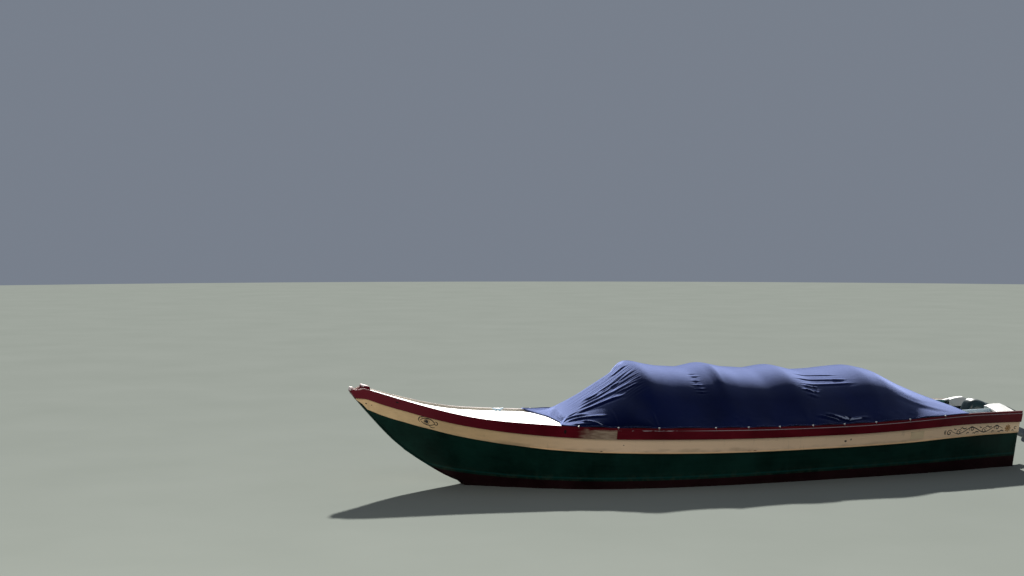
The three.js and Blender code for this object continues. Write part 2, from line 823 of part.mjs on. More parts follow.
function clampBracket() {
  const aftFace = xOf(LENGTH) - GAP;
  const frontFace = xOf(LENGTH - TRANSOM_THICK) + 5;
  const seat = zOf(CUTOUT_TOP) + GAP;
  let solid = boxBetween([aftFace - 10, -EAR_OUTER, seat - 200], [aftFace, EAR_OUTER, seat + 12]);
  const hook = boxBetween([aftFace - 10, -EAR_OUTER, seat], [frontFace + 10, EAR_OUTER, seat + 12]);
  solid = solid.add(hook);
  for (const side of [-1, 1]) {
    const inner = side * EAR_INNER;
    const outer = side * EAR_OUTER;
    const [low, high] = [Math.min(inner, outer), Math.max(inner, outer)];
    const centre = (low + high) / 2;
    const jaw = boxBetween([frontFace, low - 8, seat - 110], [frontFace + 10, high + 8, seat + 12]);
    const ear = boxBetween([tiltX - 2, low, tiltZ - 60], [aftFace - 5, high, tiltZ + 22]);
    const round = rodAlong("Y", 22, high - low, [tiltX, centre, tiltZ], 24);
    const screw = rodAlong("X", 9, 60, [frontFace + 38, centre, seat - 80], 12);
    const pad = rodAlong("X", 18, 6, [frontFace - 2 + GAP, centre, seat - 80], 16);
    const stem = rodAlong("X", 9, 30, [frontFace + 10, centre, seat - 80], 12);
    const grip = boxBetween(
      [frontFace + 60, centre - 5, seat - 115],
      [frontFace + 70, centre + 5, seat - 45],
    );
    solid = solid.add(jaw).add(ear).add(round).add(screw).add(pad).add(stem).add(grip);
  }
  const hole = rodAlong("Y", PIVOT_RADIUS + 0.5, 400, [tiltX, 0, tiltZ], 24);
  return solid.subtract(hole);
}
addMesh("motor_clamp", geometryOf(clampBracket()), paint(COLOURS.motorGrey, 0.5, 0.4));

const motor = new THREE.Group();
motor.position.set(tiltX, 0, tiltZ);
motor.rotation.y = TILT_UP;
boat.add(motor);

function swivelBracket() {
  const tube = rodAlong("Z", 26, SWIVEL_HIGH - SWIVEL_LOW,
    [STEER_X, 0, (SWIVEL_HIGH + SWIVEL_LOW) / 2], 24);
  const pivot = rodAlong("Y", PIVOT_RADIUS, 2 * EAR_OUTER + 12, [0, 0, 0], 24);
  const boss = rodAlong("Y", 20, 2 * EAR_INNER - 2, [0, 0, 0], 24);
  const web = boxBetween([STEER_X, -14, -120], [0, 14, 12]);
  const bore = rodAlong("Z", 15, 600, [STEER_X, 0, 0], 24);
  return tube.add(boss).add(web).subtract(bore).add(pivot);
}
addMesh("motor_swivel", geometryOf(swivelBracket()), paint(COLOURS.motorGrey, 0.5, 0.4), motor);

function legSection(front, back, half) {
  const shape = new THREE.Shape();
  shape.moveTo(front, 0);
  shape.quadraticCurveTo(front, half, front - 30, half);
  shape.lineTo(back + 45, half);
  shape.lineTo(back, 2);
  shape.lineTo(back, -2);
  shape.lineTo(back + 45, -half);
  shape.lineTo(front - 30, -half);
  shape.quadraticCurveTo(front, -half, front, 0);
  return shape;
}

function columnBetween(front, back, half, low, high) {
  const options = { depth: high - low, bevelEnabled: false, curveSegments: 4 };
  return solidOf(new THREE.ExtrudeGeometry(legSection(front, back, half), options), move(0, 0, low));
}

function motorLeg() {
  const shaft = rodAlong("Z", SHAFT_RADIUS, SWIVEL_HIGH - SWIVEL_LOW + 30,
    [STEER_X, 0, (SWIVEL_HIGH + SWIVEL_LOW) / 2], 24);
  const headLow = SWIVEL_HIGH + SWIVEL_PLAY;
  const footHigh = SWIVEL_LOW - SWIVEL_PLAY;
  const head = boxBetween([HEAD_BACK, -HEAD_HALF, headLow], [HEAD_FRONT, HEAD_HALF, COWL_LOW - GAP]);
  const lower = boxBetween([-150, -20, footHigh - 25], [STEER_X + 20, 20, footHigh]);
  const column = columnBetween(COLUMN_FRONT, COLUMN_BACK, 24, GEARCASE_Z, SWIVEL_HIGH + 20);
  const splashLow = SPLASH_PLATE_Z - SPLASH_PLATE_THICK;
  const plate = columnBetween(-55, -300, 70, splashLow, SPLASH_PLATE_Z);
  const profile = GEARCASE_PROFILE.map(([radius, along]) => new THREE.Vector2(radius, along));
  const gearcase = solidOf(
    new THREE.LatheGeometry(profile, 16),
    move(GEARCASE_BACK - GEARCASE_PROFILE[0][1], 0, GEARCASE_Z).multiply(turn("Z", -Math.PI / 2)),
  );
  const skeg = sidePlate(SKEG_OUTLINE, SKEG_HALF);
  return shaft.add(head).add(lower).add(column).add(plate).add(gearcase).add(skeg);
}
addMesh("motor_leg", geometryOf(motorLeg()), paint(COLOURS.motorGrey, 0.5, 0.3), motor);

// The cowl: a round-cornered box with a domed top, as rings of an outline that shrinks upward
function cowlGeometry() {
  const levels = [
    // height share, size share
    [0, 0.9],
    [0.06, 0.97],
    [0.3, 1],
    [0.72, 0.97],
    [0.88, 0.88],
    [0.97, 0.7],
    [1, 0.45],
  ];
  const corner = 5;
  const centreX = (COWL_FRONT + COWL_BACK) / 2;
  const halfLong = (COWL_FRONT - COWL_BACK) / 2;
  const positions = [];
  const round = 4 * corner;
  for (const [up, size] of levels) {
    for (let i = 0; i < round; i += 1) {
      const angle = (2 * Math.PI * (i + 0.5)) / round;
      const c = Math.cos(angle);
      const s = Math.sin(angle);
      const squareness = (Math.abs(c) ** 4 + Math.abs(s) ** 4) ** (-1 / 4);
      const x = centreX + halfLong * size * c * squareness;
      const y = COWL_HALF * size * s * squareness;
      positions.push(x, y, COWL_LOW + (COWL_HIGH - COWL_LOW) * up);
    }
  }
  const index = [];
  for (let r = 0; r < levels.length - 1; r += 1) {
    for (let i = 0; i < round; i += 1) {
      const j = (i + 1) % round;
      const a = r * round;
      index.push(a + i, a + j, a + round + j, a + i, a + round + j, a + round + i);
    }
  }
  const top = (levels.length - 1) * round;
  for (let i = 1; i < round - 1; i += 1) {
    index.push(0, i + 1, i);
    index.push(top, top + i, top + i + 1);
  }
  return bodyFrom(positions, index);
}
addMesh("motor_cowl", cowlGeometry(), paint(COLOURS.motorDark, 0.4), motor);

const TILLER_RISE = 40 * Math.PI / 180;
const TILLER_LONG = 380;
const TILLER_Z = COWL_LOW + 0.3 * (COWL_HIGH - COWL_LOW); // where the cowl is widest
function tillerArm() {
  const placed = move(COWL_FRONT + 25, 0, TILLER_Z).multiply(turn("Y", -TILLER_RISE));
  const bar = rodAlong("X", 12, TILLER_LONG, [TILLER_LONG / 2 + 18, 0, 0], 12);
  const grip = rodAlong("X", 18, 130, [TILLER_LONG - 40, 0, 0], 12);
  const root = boxBetween([0, -17, -14], [70, 17, 14]);
  const bracket = boxBetween(
    [COWL_FRONT + GAP, -22, TILLER_Z - 18],
    [COWL_FRONT + 32, 22, TILLER_Z + 18],
  );
  return bar.add(grip).add(root).transform(placed.elements).add(bracket);
}
addMesh("motor_tiller", geometryOf(tillerArm()), paint(COLOURS.motorDark, 0.6), motor);

function propeller() {
  const hubFront = GEARCASE_BACK - 0.5;
  const thick = 5;
  let solid = rodAlong("X", HUB_RADIUS, HUB_LONG, [hubFront - HUB_LONG / 2, 0, 0], 18);
  const blade = new THREE.Shape();
  blade.moveTo(-16, 15);
  blade.quadraticCurveTo(-52, 60, -20, PROPELLER_RADIUS - 4);
  blade.quadraticCurveTo(0, PROPELLER_RADIUS + 2, 20, PROPELLER_RADIUS - 8);
  blade.quadraticCurveTo(48, 60, 16, 15);
  const options = { depth: thick, bevelEnabled: false, curveSegments: 5 };
  const plate = new THREE.ExtrudeGeometry(blade, options);
  for (let i = 0; i < PROPELLER_BLADES; i += 1) {
    const placed = move(GEARCASE_BACK - 30, 0, 0)
      .multiply(turn("X", (i * 2 * Math.PI) / PROPELLER_BLADES))
      .multiply(turn("X", Math.PI / 2))
      .multiply(turn("Y", Math.PI / 2 - BLADE_PITCH))
      .multiply(move(0, 0, -thick / 2));
    solid = solid.add(solidOf(plate, placed));
  }
  return solid.transform(move(0, 0, GEARCASE_Z).elements);
}
addMesh("propeller", geometryOf(propeller()), paint(COLOURS.steel, 0.35, 0.8), motor);

export default boat;
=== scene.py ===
# %% [markdown]
# # A flat-bottomed wooden work boat
# This lesson dresses a boat whose construction is already settled: planks, rails, decks, hoops
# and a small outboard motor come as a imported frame, in metres, with +X to the bow, +Y to port
# and +Z up. Here they get faired curves, rounded edges, paint, wear, a cloth cover, painted
# ornament and light. Places along the boat are given as "aft", the distance behind the stem.

# %% Load the frame
import math
from functools import reduce

import bmesh
import bpy
import numpy as np
from mathutils import Matrix, Vector
from mathutils.bvhtree import BVHTree


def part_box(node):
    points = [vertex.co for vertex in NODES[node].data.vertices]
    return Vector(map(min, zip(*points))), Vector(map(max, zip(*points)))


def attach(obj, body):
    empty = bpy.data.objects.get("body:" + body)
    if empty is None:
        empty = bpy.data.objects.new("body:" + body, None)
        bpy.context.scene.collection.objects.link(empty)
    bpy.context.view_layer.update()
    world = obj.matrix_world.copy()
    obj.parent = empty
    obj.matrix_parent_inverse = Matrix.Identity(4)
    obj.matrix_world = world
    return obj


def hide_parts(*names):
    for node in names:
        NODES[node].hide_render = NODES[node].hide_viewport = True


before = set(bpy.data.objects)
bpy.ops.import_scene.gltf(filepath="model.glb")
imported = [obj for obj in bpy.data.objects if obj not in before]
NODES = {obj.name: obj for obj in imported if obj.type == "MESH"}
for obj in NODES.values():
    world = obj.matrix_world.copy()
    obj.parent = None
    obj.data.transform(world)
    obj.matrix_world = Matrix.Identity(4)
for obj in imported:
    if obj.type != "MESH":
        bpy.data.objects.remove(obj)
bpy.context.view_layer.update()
BOW_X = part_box("stem_post")[1].x
WATERLINE = 0.17
TOE_RAIL = 0.025
SIDES = (("port", 1), ("starboard", -1))
HOOPS = [f"hoop_{number}" for number in (1, 2, 3, 4)]


def aft_of(x):
    return BOW_X - x


print("frame holds", len(NODES), "nodes; the stem is at x =", round(BOW_X, 3))


# %% [markdown]
# Paint is described with small sums: a mask is noise minus an edge, a chip is a mask times
# another. Writing those sums as node links is slow to read, so one class wraps a socket and
# turns Python's operators into Math nodes, and one method adds every other kind of node.

# %% A socket that does sums
def math_node(operation, swapped=False):
    """A method that adds one Math node, on a value and on what it is given."""

    def method(self, *others):
        parts = (*others, self) if swapped else (self, *others)
        return self.shader.add("ShaderNodeMath", {"operation": operation}, dict(enumerate(parts)))

    return method


class Value:
    __add__ = __radd__ = math_node("ADD")
    __mul__ = __rmul__ = math_node("MULTIPLY")
    __sub__ = math_node("SUBTRACT")
    __rsub__ = math_node("SUBTRACT", swapped=True)
    __truediv__ = math_node("DIVIDE")
    __pow__ = math_node("POWER")
    __abs__ = math_node("ABSOLUTE")
    root = math_node("SQRT")
    fraction = math_node("FRACT")
    exponential = math_node("EXPONENT")
    sine = math_node("SINE")
    most = math_node("MAXIMUM")
    least = math_node("MINIMUM")

    def __init__(self, shader, socket):
        self.shader = shader
        self.socket = socket

    def rise(self, low, high):
        """0 below low, 1 above high, smooth between; falls instead where low is above high."""
        ends = {0: self, 1: min(low, high), 2: max(low, high)}
        step = self.shader.add("ShaderNodeMapRange", {"interpolation_type": "SMOOTHSTEP"}, ends)
        return step if low < high else 1 - step


class Shader:
    def __init__(self, name):
        self.material = bpy.data.materials.new(name)
        self.material.use_nodes = True
        self.tree = self.material.node_tree
        self.tree.nodes.clear()

    def add(self, kind, settings=None, inputs=None, output=0):
        node = self.tree.nodes.new(kind)
        for key, value in (settings or {}).items():
            setattr(node, key, value)
        for key, value in (inputs or {}).items():
            if isinstance(value, Value):
                self.tree.links.new(value.socket, node.inputs[key])
            else:
                node.inputs[key].default_value = value
        return Value(self, node.outputs[output]) if node.outputs else None

    def place(self, stretch=(1, 1, 1)):
        point = self.add("ShaderNodeTexCoord", output="Object")
        return self.add("ShaderNodeMapping", {}, {"Vector": point, "Scale": stretch})

    def axes(self, vector):
        return [self.add("ShaderNodeSeparateXYZ", {}, {0: vector}, axis) for axis in range(3)]

    def uv(self, layer):
        return self.add("ShaderNodeUVMap", {"uv_map": layer})

    def noise(self, scale, detail=3, rough=0.55, stretch=(1, 1, 1)):
        inputs = {"Vector": self.place(stretch), "Scale": scale, "Detail": detail, "Roughness": rough}
        return self.add("ShaderNodeTexNoise", {}, inputs)

    def mix(self, factor, first, second):
        settings = {"data_type": "RGBA"}
        return self.add("ShaderNodeMix", settings, {0: factor, 6: colour(first), 7: colour(second)}, 2)

    def bump(self, height, distance, strength=1.0):
        inputs = {"Height": height, "Distance": distance, "Strength": strength}
        return self.add("ShaderNodeBump", {}, inputs)

    def finish(self, base, roughness, normal=None, **fixed):
        inputs = {"Base Color": colour(base), "Roughness": roughness}
        if normal is not None:
            inputs["Normal"] = normal
        for key, value in fixed.items():
            inputs[key.replace("_", " ").title().replace("Ior", "IOR")] = value
        surface = self.add("ShaderNodeBsdfPrincipled", {}, inputs)
        self.add("ShaderNodeOutputMaterial", {}, {"Surface": surface})
        return self.material


def colour(value):
    return (*value, 1) if isinstance(value, tuple) and len(value) == 3 else value


print("shader tools ready")

# %% [markdown]
# ## Paints
# A working boat is painted by brush over old paint. Every coat has a slow change of tone and
# fine brush lines along the plank. One function makes that coat for any colour, and each paint
# adds its own wear.
# The hull pieces carry a UV layer "run": metres aft, and metres below the rail's top.

# %% Colours and the common coat
GREEN = (0.0004, 0.0165, 0.0115)
BOOT_EDGE_HIGHLIGHT = (0.004, 0.050, 0.044)
BOOT_TOP = (0.012, 0.002, 0.003)
CREAM = (0.74, 0.50, 0.27)
MAROON = (0.092, 0.0005, 0.0065)
WHITE = (0.86, 0.86, 0.83)
BEIGE = (0.62, 0.55, 0.43)
TEAL = (0.05, 0.17, 0.16)
PALE_BLUE = (0.36, 0.50, 0.60)
OLD_WOOD = (0.23, 0.16, 0.11)
PINK_PRIMER = (0.60, 0.42, 0.40)
BLACK_PAINT = (0.012, 0.011, 0.012)
OCHRE = (0.36, 0.17, 0.04)


def brushed(shader, base, spread=0.10, lines=0.5):
    """The base colour, a little lighter and darker in slow patches and fine brush lines."""
    patches = shader.noise(2.2, 4)
    strokes = shader.noise(34, 3, stretch=(0.05, 1, 1))
    tone = (patches - 0.5) * 2 + (strokes - 0.5) * lines
    light = tuple(min(1, channel * (1 + 2 * spread) + 0.004) for channel in base)
    dark = tuple(channel * (1 - spread) for channel in base)
    return shader.mix((tone + 0.5).rise(0, 1), dark, light), strokes


def run_of(shader):
    return shader.axes(shader.uv("run"))[:2]


def most_of(masks):
    """A mask that shows wherever one of the masks does."""
    return reduce(Value.most, masks)


SPOT_RAGGED = 0.35


def spots(shader, marks):
    """A mask of small ragged marks. Each mark: metres aft, metres below the rail, two radii."""
    aft, below = run_of(shader)
    rag = (shader.noise(90, 3) - 0.5) * 2 * SPOT_RAGGED
    reaches = (
        (((aft - at) / long) ** 2 + ((below - down) / tall) ** 2).root() + rag
        for at, down, long, tall in marks
    )
    return most_of(reach.rise(1.1, 0.75) for reach in reaches)


def port_half(shader):
    """A mask of the port half, for the marks that only that side has."""
    return shader.axes(shader.place())[1].rise(-0.01, 0.01)


print("colours, the common coat and its marks are ready")


# %% [markdown]
# The rail takes every knock, so its maroon paint is chipped along the top edge down to a pale
# primer, and a bare grey patch shows where a mooring rope ran. A thin light line along the ledge
# is a painted highlight, where the ledge catches the light. The stem head has the same paint and
# the most chips.

# %% Maroon rail paint
RAIL_PATCH = (2.04, 2.43)
RAIL_MARKS = (
    # aft, below the rail's top, half length, half height
    (1.94, 0.055, 0.012, 0.022),
    (0.42, 0.040, 0.014, 0.007),
)
SUNNED_MAROON = (0.150, 0.012, 0.024)
LEDGE_HIGHLIGHT = (0.42, 0.36, 0.38)
DRY_WOOD = (0.38, 0.29, 0.21)


def rail_paint():
    shader = Shader("maroon_rail_paint")
    base, strokes = brushed(shader, MAROON, 0.22)
    aft, below = run_of(shader)
    base = shader.mix(aft.rise(2.0, 0.3) * 0.8, base, SUNNED_MAROON)
    port = port_half(shader)
    chips = shader.noise(26, 4, 0.7, stretch=(0.35, 1, 1))
    edge = below.rise(0.012, 0.001)
    top_edge = (chips - 0.16 * aft.rise(0.3, 1.2)).rise(0.50, 0.58) * edge
    # Painted highlight: a thin light line along the ledge, unbroken from about 3 m aft and in dashes
    # further forward.
    ledge = abs(below - TOE_RAIL).rise(0.0042, 0.0012) * aft.rise(2.9, 3.5)
    ledge_highlight_dashes = abs(below - TOE_RAIL).rise(0.006, 0.001) * chips.rise(0.50, 0.60)
    ledge_highlight_dashes = ledge_highlight_dashes * aft.rise(2.35, 2.5) * aft.rise(3.3, 3.0)
    base = shader.mix(top_edge * 0.9, base, PINK_PRIMER)
    base = shader.mix(ledge.most(ledge_highlight_dashes) * 0.85, base, LEDGE_HIGHLIGHT)
    ragged = (shader.noise(14, 4, 0.65, stretch=(0.6, 1, 1.6)) - 0.5) * 0.5
    patch = (aft + ragged * 0.5).rise(RAIL_PATCH[0], RAIL_PATCH[0] + 0.2)
    patch = patch * (aft + ragged * 0.01).rise(RAIL_PATCH[1] + 0.004, RAIL_PATCH[1] - 0.004)
    patch = patch * (below + ragged * 0.12).rise(0.012, 0.035) * port
    grain = shader.noise(60, 4, stretch=(0.05, 1, 1))
    wood = shader.mix(grain.rise(0.35, 0.7), OLD_WOOD, DRY_WOOD)
    base = shader.mix(patch * 0.95, base, wood)
    marks = spots(shader, RAIL_MARKS) * port
    base = shader.mix(marks, base, BLACK_PAINT)
    rough = 0.36 + patch * 0.4 + top_edge * 0.3 + (strokes - 0.5) * 0.2
    relief = strokes * 0.3 - top_edge * 0.8 - patch * 0.5 + grain * patch * 0.6
    return shader.finish(base, rough, shader.bump(relief, 0.0012), specular_ior_level=0.12)


# %% [markdown]
# The cream strake is the boat's bright band, glossy and mostly clean. It has nicks and dirt
# along its lower edge, one rust run under an old nail, and a few scuffs further aft.

# %% Cream strake paint
STRAKE_MARKS = (
    # aft, below the rail's top, half length, half height
    (0.155, 0.140, 0.008, 0.007),
    (0.205, 0.142, 0.005, 0.005),
    (2.30, 0.236, 0.012, 0.006),
    (2.51, 0.170, 0.007, 0.004),
    (2.58, 0.246, 0.012, 0.006),
    (2.92, 0.249, 0.016, 0.006),
    (4.84, 0.178, 0.016, 0.010),
    (4.90, 0.164, 0.007, 0.011),
    (4.02, 0.240, 0.020, 0.004),
)
RUST_MARKS = (
    (3.79, 0.242, 0.040, 0.008),
    (3.85, 0.237, 0.018, 0.006),
)
SUNNED_CREAM = (0.90, 0.66, 0.46)
GRIME = (0.30, 0.21, 0.12)
STREAK = (0.42, 0.30, 0.18)
DIRT = (0.05, 0.035, 0.03)
RUST = (0.16, 0.035, 0.015)
SCUFF = (0.12, 0.08, 0.05)


def strake_paint():
    shader = Shader("cream_strake_paint")
    base, strokes = brushed(shader, CREAM, 0.07, 0.9)
    aft, below = run_of(shader)
    base = shader.mix(aft.rise(1.0, 2.6) * 0.75, base, SUNNED_CREAM)
    port = port_half(shader)
    grime = shader.noise(7, 4, stretch=(0.5, 1, 1.5)) * below.rise(0.12, 0.25)
    base = shader.mix(grime.rise(0.30, 0.62) * 0.45, base, GRIME)
    streaks = shader.noise(22, 3, stretch=(1, 1, 0.06)).rise(0.60, 0.75)
    base = shader.mix(streaks * 0.25, base, STREAK)
    base = shader.mix(spots(shader, STRAKE_MARKS) * port, base, DIRT)
    base = shader.mix(spots(shader, RUST_MARKS) * port, base, RUST)
    scuffs = shader.noise(48, 4, 0.7, stretch=(0.4, 1, 1)).rise(0.72, 0.78) * below.rise(0.19, 0.23)
    base = shader.mix(scuffs * 0.8, base, SCUFF)
    rough = 0.34 + (strokes - 0.5) * 0.25 + grime * 0.2
    return shader.finish(base, rough, shader.bump(strokes, 0.0006), specular_ior_level=0.3)


# %% [markdown]
# Below the strake the planks are very dark green, which looks black in shade. A faint teal line
# just above the dark red boot top is a painted highlight, as on an edge that catches the light,
# and weed and scum stain the paint near the water.

# %% Green hull paint with its boot top
BOOT_HEIGHT = 0.076
BOOT_BOW_RISE = 0.092
BOOT_BOW_AT = 0.89
BOOT_BOW_FADE = 0.45
BOOT_BOW_MOST = 2.2
BOOT_STERN_FROM = 3.3
BOOT_STERN_SLOPE = 0.012
BOOT_EDGE_HIGHLIGHT_UP = 0.028
STEM_MAROON_LOW = WATERLINE + 0.878
GREEN_STREAK = (0.004, 0.030, 0.024)
SCUM = (0.05, 0.06, 0.035)
WEED = (0.020, 0.030, 0.012)
PALE_CHIP = (0.80, 0.68, 0.66)


def boot_line(aft):
    """Height of the boot top's edge above the bottom, which climbs towards the stem."""
    bow = ((BOOT_BOW_AT - aft) / BOOT_BOW_FADE).exponential().least(BOOT_BOW_MOST)
    stern = (aft - BOOT_STERN_FROM).most(0)
    return WATERLINE + BOOT_HEIGHT + bow * BOOT_BOW_RISE + stern * BOOT_STERN_SLOPE


def stem_chips(shader, base, z, chips_low):
    """Maroon over the stem's head, with pale chips above a height."""
    maroon, _ = brushed(shader, MAROON, 0.22)
    base = shader.mix(z.rise(STEM_MAROON_LOW - 0.002, STEM_MAROON_LOW + 0.002), base, maroon)
    chips = shader.noise(55, 4, 0.7) + z.rise(chips_low, chips_low + 0.016) * 0.30
    chips = chips.rise(0.60, 0.66) * z.rise(chips_low - 0.004, chips_low)
    return shader.mix(chips * 0.95, base, PALE_CHIP)


def hull_paint(name="green_hull_paint", chips_low=None):
    shader = Shader(name)
    base, strokes = brushed(shader, GREEN, 0.30)
    x, _, z = shader.axes(shader.place())
    above = z - boot_line(BOW_X - x)
    streaks = shader.noise(9, 4, 0.6, stretch=(1, 1, 0.10)).rise(0.52, 0.75)
    base = shader.mix(streaks * 0.4, base, GREEN_STREAK)
    seam_wobble = (shader.noise(3, 2, stretch=(1, 0.2, 0.2)) - 0.5) * 0.012
    # Painted highlight: a faint teal line just above the boot top.
    teal = abs(above + seam_wobble - BOOT_EDGE_HIGHLIGHT_UP).rise(0.014, 0.002)
    base = shader.mix(teal * 0.65, base, BOOT_EDGE_HIGHLIGHT)
    scum = shader.noise(16, 4, 0.7).rise(0.40, 0.7) * above.rise(0.09, 0.0)
    base = shader.mix(scum * 0.35, base, SCUM)
    red, _ = brushed(shader, BOOT_TOP, 0.25)
    base = shader.mix(above.rise(0.003, -0.003), base, red)
    weed = shader.noise(30, 5, 0.7, stretch=(1, 1, 0.5)).rise(0.45, 0.7)
    base = shader.mix(weed * z.rise(WATERLINE + 0.05, 0.12) * 0.7, base, WEED)
    if chips_low:
        base = stem_chips(shader, base, z, chips_low)
    rough = 0.40 + scum * 0.3 + (strokes - 0.5) * 0.25
    relief = strokes + scum * 0.5
    return shader.finish(base, rough, shader.bump(relief, 0.0008), specular_ior_level=0.08)


print("boot top edge amidships at", WATERLINE + BOOT_HEIGHT)

# %% [markdown]
# The other finishes: bright white deck paint with thin plank seams and scuffs, worn teal inside,
# weathered boards, galvanised hoops, the motor's plastic and enamel, and the small fittings.

# %% Deck, inside and fitting finishes
PLANK_WIDE = 0.11
SEAM_DIRT = (0.42, 0.40, 0.36)
DECK_SCUFF = (0.52, 0.49, 0.42)
BOARD_TONES = ((0.15, 0.105, 0.07), (0.40, 0.31, 0.22))
KNOT = (0.10, 0.07, 0.05)


def deck_paint():
    shader = Shader("white_deck_paint")
    base, strokes = brushed(shader, WHITE, 0.05)
    _, y, _ = shader.axes(shader.place())
    seam = abs((y / PLANK_WIDE).fraction() - 0.5).rise(0.46, 0.495)
    base = shader.mix(seam * 0.35, base, SEAM_DIRT)
    scuff = shader.noise(12, 5, 0.75, stretch=(0.5, 1, 1)).rise(0.60, 0.72)
    base = shader.mix(scuff * 0.35, base, DECK_SCUFF)
    relief = strokes * 0.4 - seam
    return shader.finish(base, 0.42 + scuff * 0.3, shader.bump(relief, 0.001))


def worn_paint(name, base_colour, under, amount):
    shader = Shader(name)
    base, strokes = brushed(shader, base_colour, 0.18)
    worn = shader.noise(9, 5, 0.72, stretch=(0.5, 1, 1)).rise(amount, amount + 0.08)
    base = shader.mix(worn * 0.8, base, under)
    relief = strokes * 0.4 - worn * 0.6
    return shader.finish(base, 0.45 + worn * 0.3, shader.bump(relief, 0.001))


def board_wood():
    shader = Shader("weathered_board_wood")
    grain = shader.noise(42, 5, 0.65, stretch=(0.04, 1, 1))
    knots = shader.noise(5, 3, stretch=(0.6, 1, 1))
    base = shader.mix(grain.rise(0.32, 0.68), *BOARD_TONES)
    base = shader.mix(knots.rise(0.60, 0.75) * 0.5, base, KNOT)
    return shader.finish(base, 0.72 + grain * 0.15, shader.bump(grain, 0.0015))


def metal(name, base_colour, metallic, gloss, scale=60):
    shader = Shader(name)
    cloud = shader.noise(scale, 4, 0.6)
    dark = tuple(channel * 0.7 for channel in base_colour)
    base = shader.mix(cloud.rise(0.3, 0.7), dark, base_colour)
    normal = shader.bump(cloud, 0.0004)
    return shader.finish(base, gloss + (cloud - 0.5) * 0.2, normal, metallic=metallic)


def plastic(name, base_colour, gloss, dust=(0.10, 0.10, 0.095)):
    shader = Shader(name)
    grain = shader.noise(420, 2)
    film = shader.noise(6, 4, 0.65).rise(0.48, 0.75)
    base = shader.mix(film * 0.25, base_colour, dust)
    normal = shader.bump(grain, 0.0002)
    return shader.finish(base, gloss + film * 0.2, normal)


def ornament_paint(name, base_colour):
    shader = Shader(name)
    wear = shader.noise(160, 4, 0.7).rise(0.62, 0.74)
    base = shader.mix(wear * 0.7, base_colour, CREAM)
    return shader.finish(base, 0.4 + wear * 0.2)


PAINT = {
    "rail": rail_paint(),
    "strake": strake_paint(),
    "hull": hull_paint(),
    "stem": hull_paint("chipped_stem_paint", WATERLINE + 0.950),
    "block": hull_paint("chipped_block_paint", WATERLINE + 0.990),
    "deck": deck_paint(),
    "beige": worn_paint("beige_inner_rail_paint", BEIGE, (0.35, 0.29, 0.22), 0.60),
    "teal": worn_paint("teal_inside_paint", TEAL, (0.30, 0.27, 0.21), 0.58),
    # On the coaming this pale blue is painted shade: white paint in shade, with a painted reflection
    # of the sky.
    "blue": worn_paint("pale_blue_paint_and_painted_shade", PALE_BLUE, (0.4, 0.4, 0.4), 0.66),
    "boards": board_wood(),
    "plate": worn_paint("blank_plate_paint", (0.58, 0.44, 0.27), (0.42, 0.31, 0.19), 0.62),
    "hoop": metal("galvanised_hoop", (0.50, 0.51, 0.53), 0.8, 0.45),
    "motor_grip": plastic("motor_grip_rubber", (0.015, 0.015, 0.016), 0.6),
    "motor_grey": metal("motor_enamel", (0.20, 0.22, 0.24), 0.25, 0.35),
    "propeller": metal("propeller_aluminium", (0.60, 0.61, 0.63), 0.95, 0.32),
    "steel": metal("stainless_fitting", (0.62, 0.62, 0.63), 1.0, 0.25, 200),
    "white_plastic": plastic("white_hook_plastic", (0.80, 0.80, 0.78), 0.35, (0.5, 0.48, 0.42)),
    "black": ornament_paint("black_ornament_paint", BLACK_PAINT),
    "ochre": ornament_paint("ochre_ornament_paint", OCHRE),
}
print("mixed", len(PAINT), "finishes")

# %% [markdown]
# ## Fair curves for the hull
# The frame's planks run straight from station to station. A real plank bends, so its line is
# fair: no corner anywhere. The stations are read back from the frame, a smooth curve is drawn
# through the same points, and each piece is bent by the small difference between the curve and
# the straight runs. All the pieces get the same bend, so they still fit each other.

# %% Stations read from the frame
RING_TOLERANCE = 0.0004
SAME_PLACE = 0.001


def rings_of(node):
    """The node's vertices grouped by their place along X, from the bow aft."""
    places = {}
    for vertex in NODES[node].data.vertices:
        places.setdefault(round(vertex.co.x, 3), []).append(vertex.co)
    return [(x, places[x]) for x in sorted(places, reverse=True)]


def level_line(node, pick):
    """For each ring: its place, its half breadth at its top or foot, and that height."""
    line = []
    for x, points in rings_of(node):
        level = pick(point.z for point in points)
        half = max(point.y for point in points if abs(point.z - level) < SAME_PLACE)
        line.append((x, half, level))
    return np.array(sorted(line))


def read_at(x, table):
    """Each further column of a table, read at places in its first column."""
    return np.array([np.interp(x, table[:, 0], column) for column in table.T[1:]])


def straight_knots(rows):
    """Leaves out rows that lie on the straight line between their neighbours."""
    kept = [rows[0]]
    for row, after in zip(rows[1:-1], rows[2:]):
        before = kept[-1]
        t = (row[0] - before[0]) / (after[0] - before[0])
        line = before[1:] + (after[1:] - before[1:]) * t
        if np.abs(row[1:] - line).max() > RING_TOLERANCE:
            kept.append(row)
    return np.array([*kept, rows[-1]])


rail_line = level_line("rub_rail_port", max)
plank_line = level_line("side_planking_port", min)
rows = np.column_stack([rail_line, *read_at(rail_line[:, 0], plank_line)])
STATIONS = straight_knots(rows)
print("stations:", len(STATIONS), "of", len(rows), "rings; rail tops", STATIONS[:, 2].round(3))


# %% The fair curve and its difference from the straight runs
def smooth_curve(x, knots_x, knots_y):
    """A cubic through the knots, whose slope at each knot comes from its two neighbours."""
    slope = np.gradient(knots_y, knots_x)
    i = np.clip(np.searchsorted(knots_x, x) - 1, 0, len(knots_x) - 2)
    width = knots_x[i + 1] - knots_x[i]
    t = np.clip((x - knots_x[i]) / width, 0, 1)
    start = (1 + 2 * t) * (1 - t) ** 2 * knots_y[i] + t * (1 - t) ** 2 * width * slope[i]
    end = t * t * (3 - 2 * t) * knots_y[i + 1] + t * t * (t - 1) * width * slope[i + 1]
    return start + end


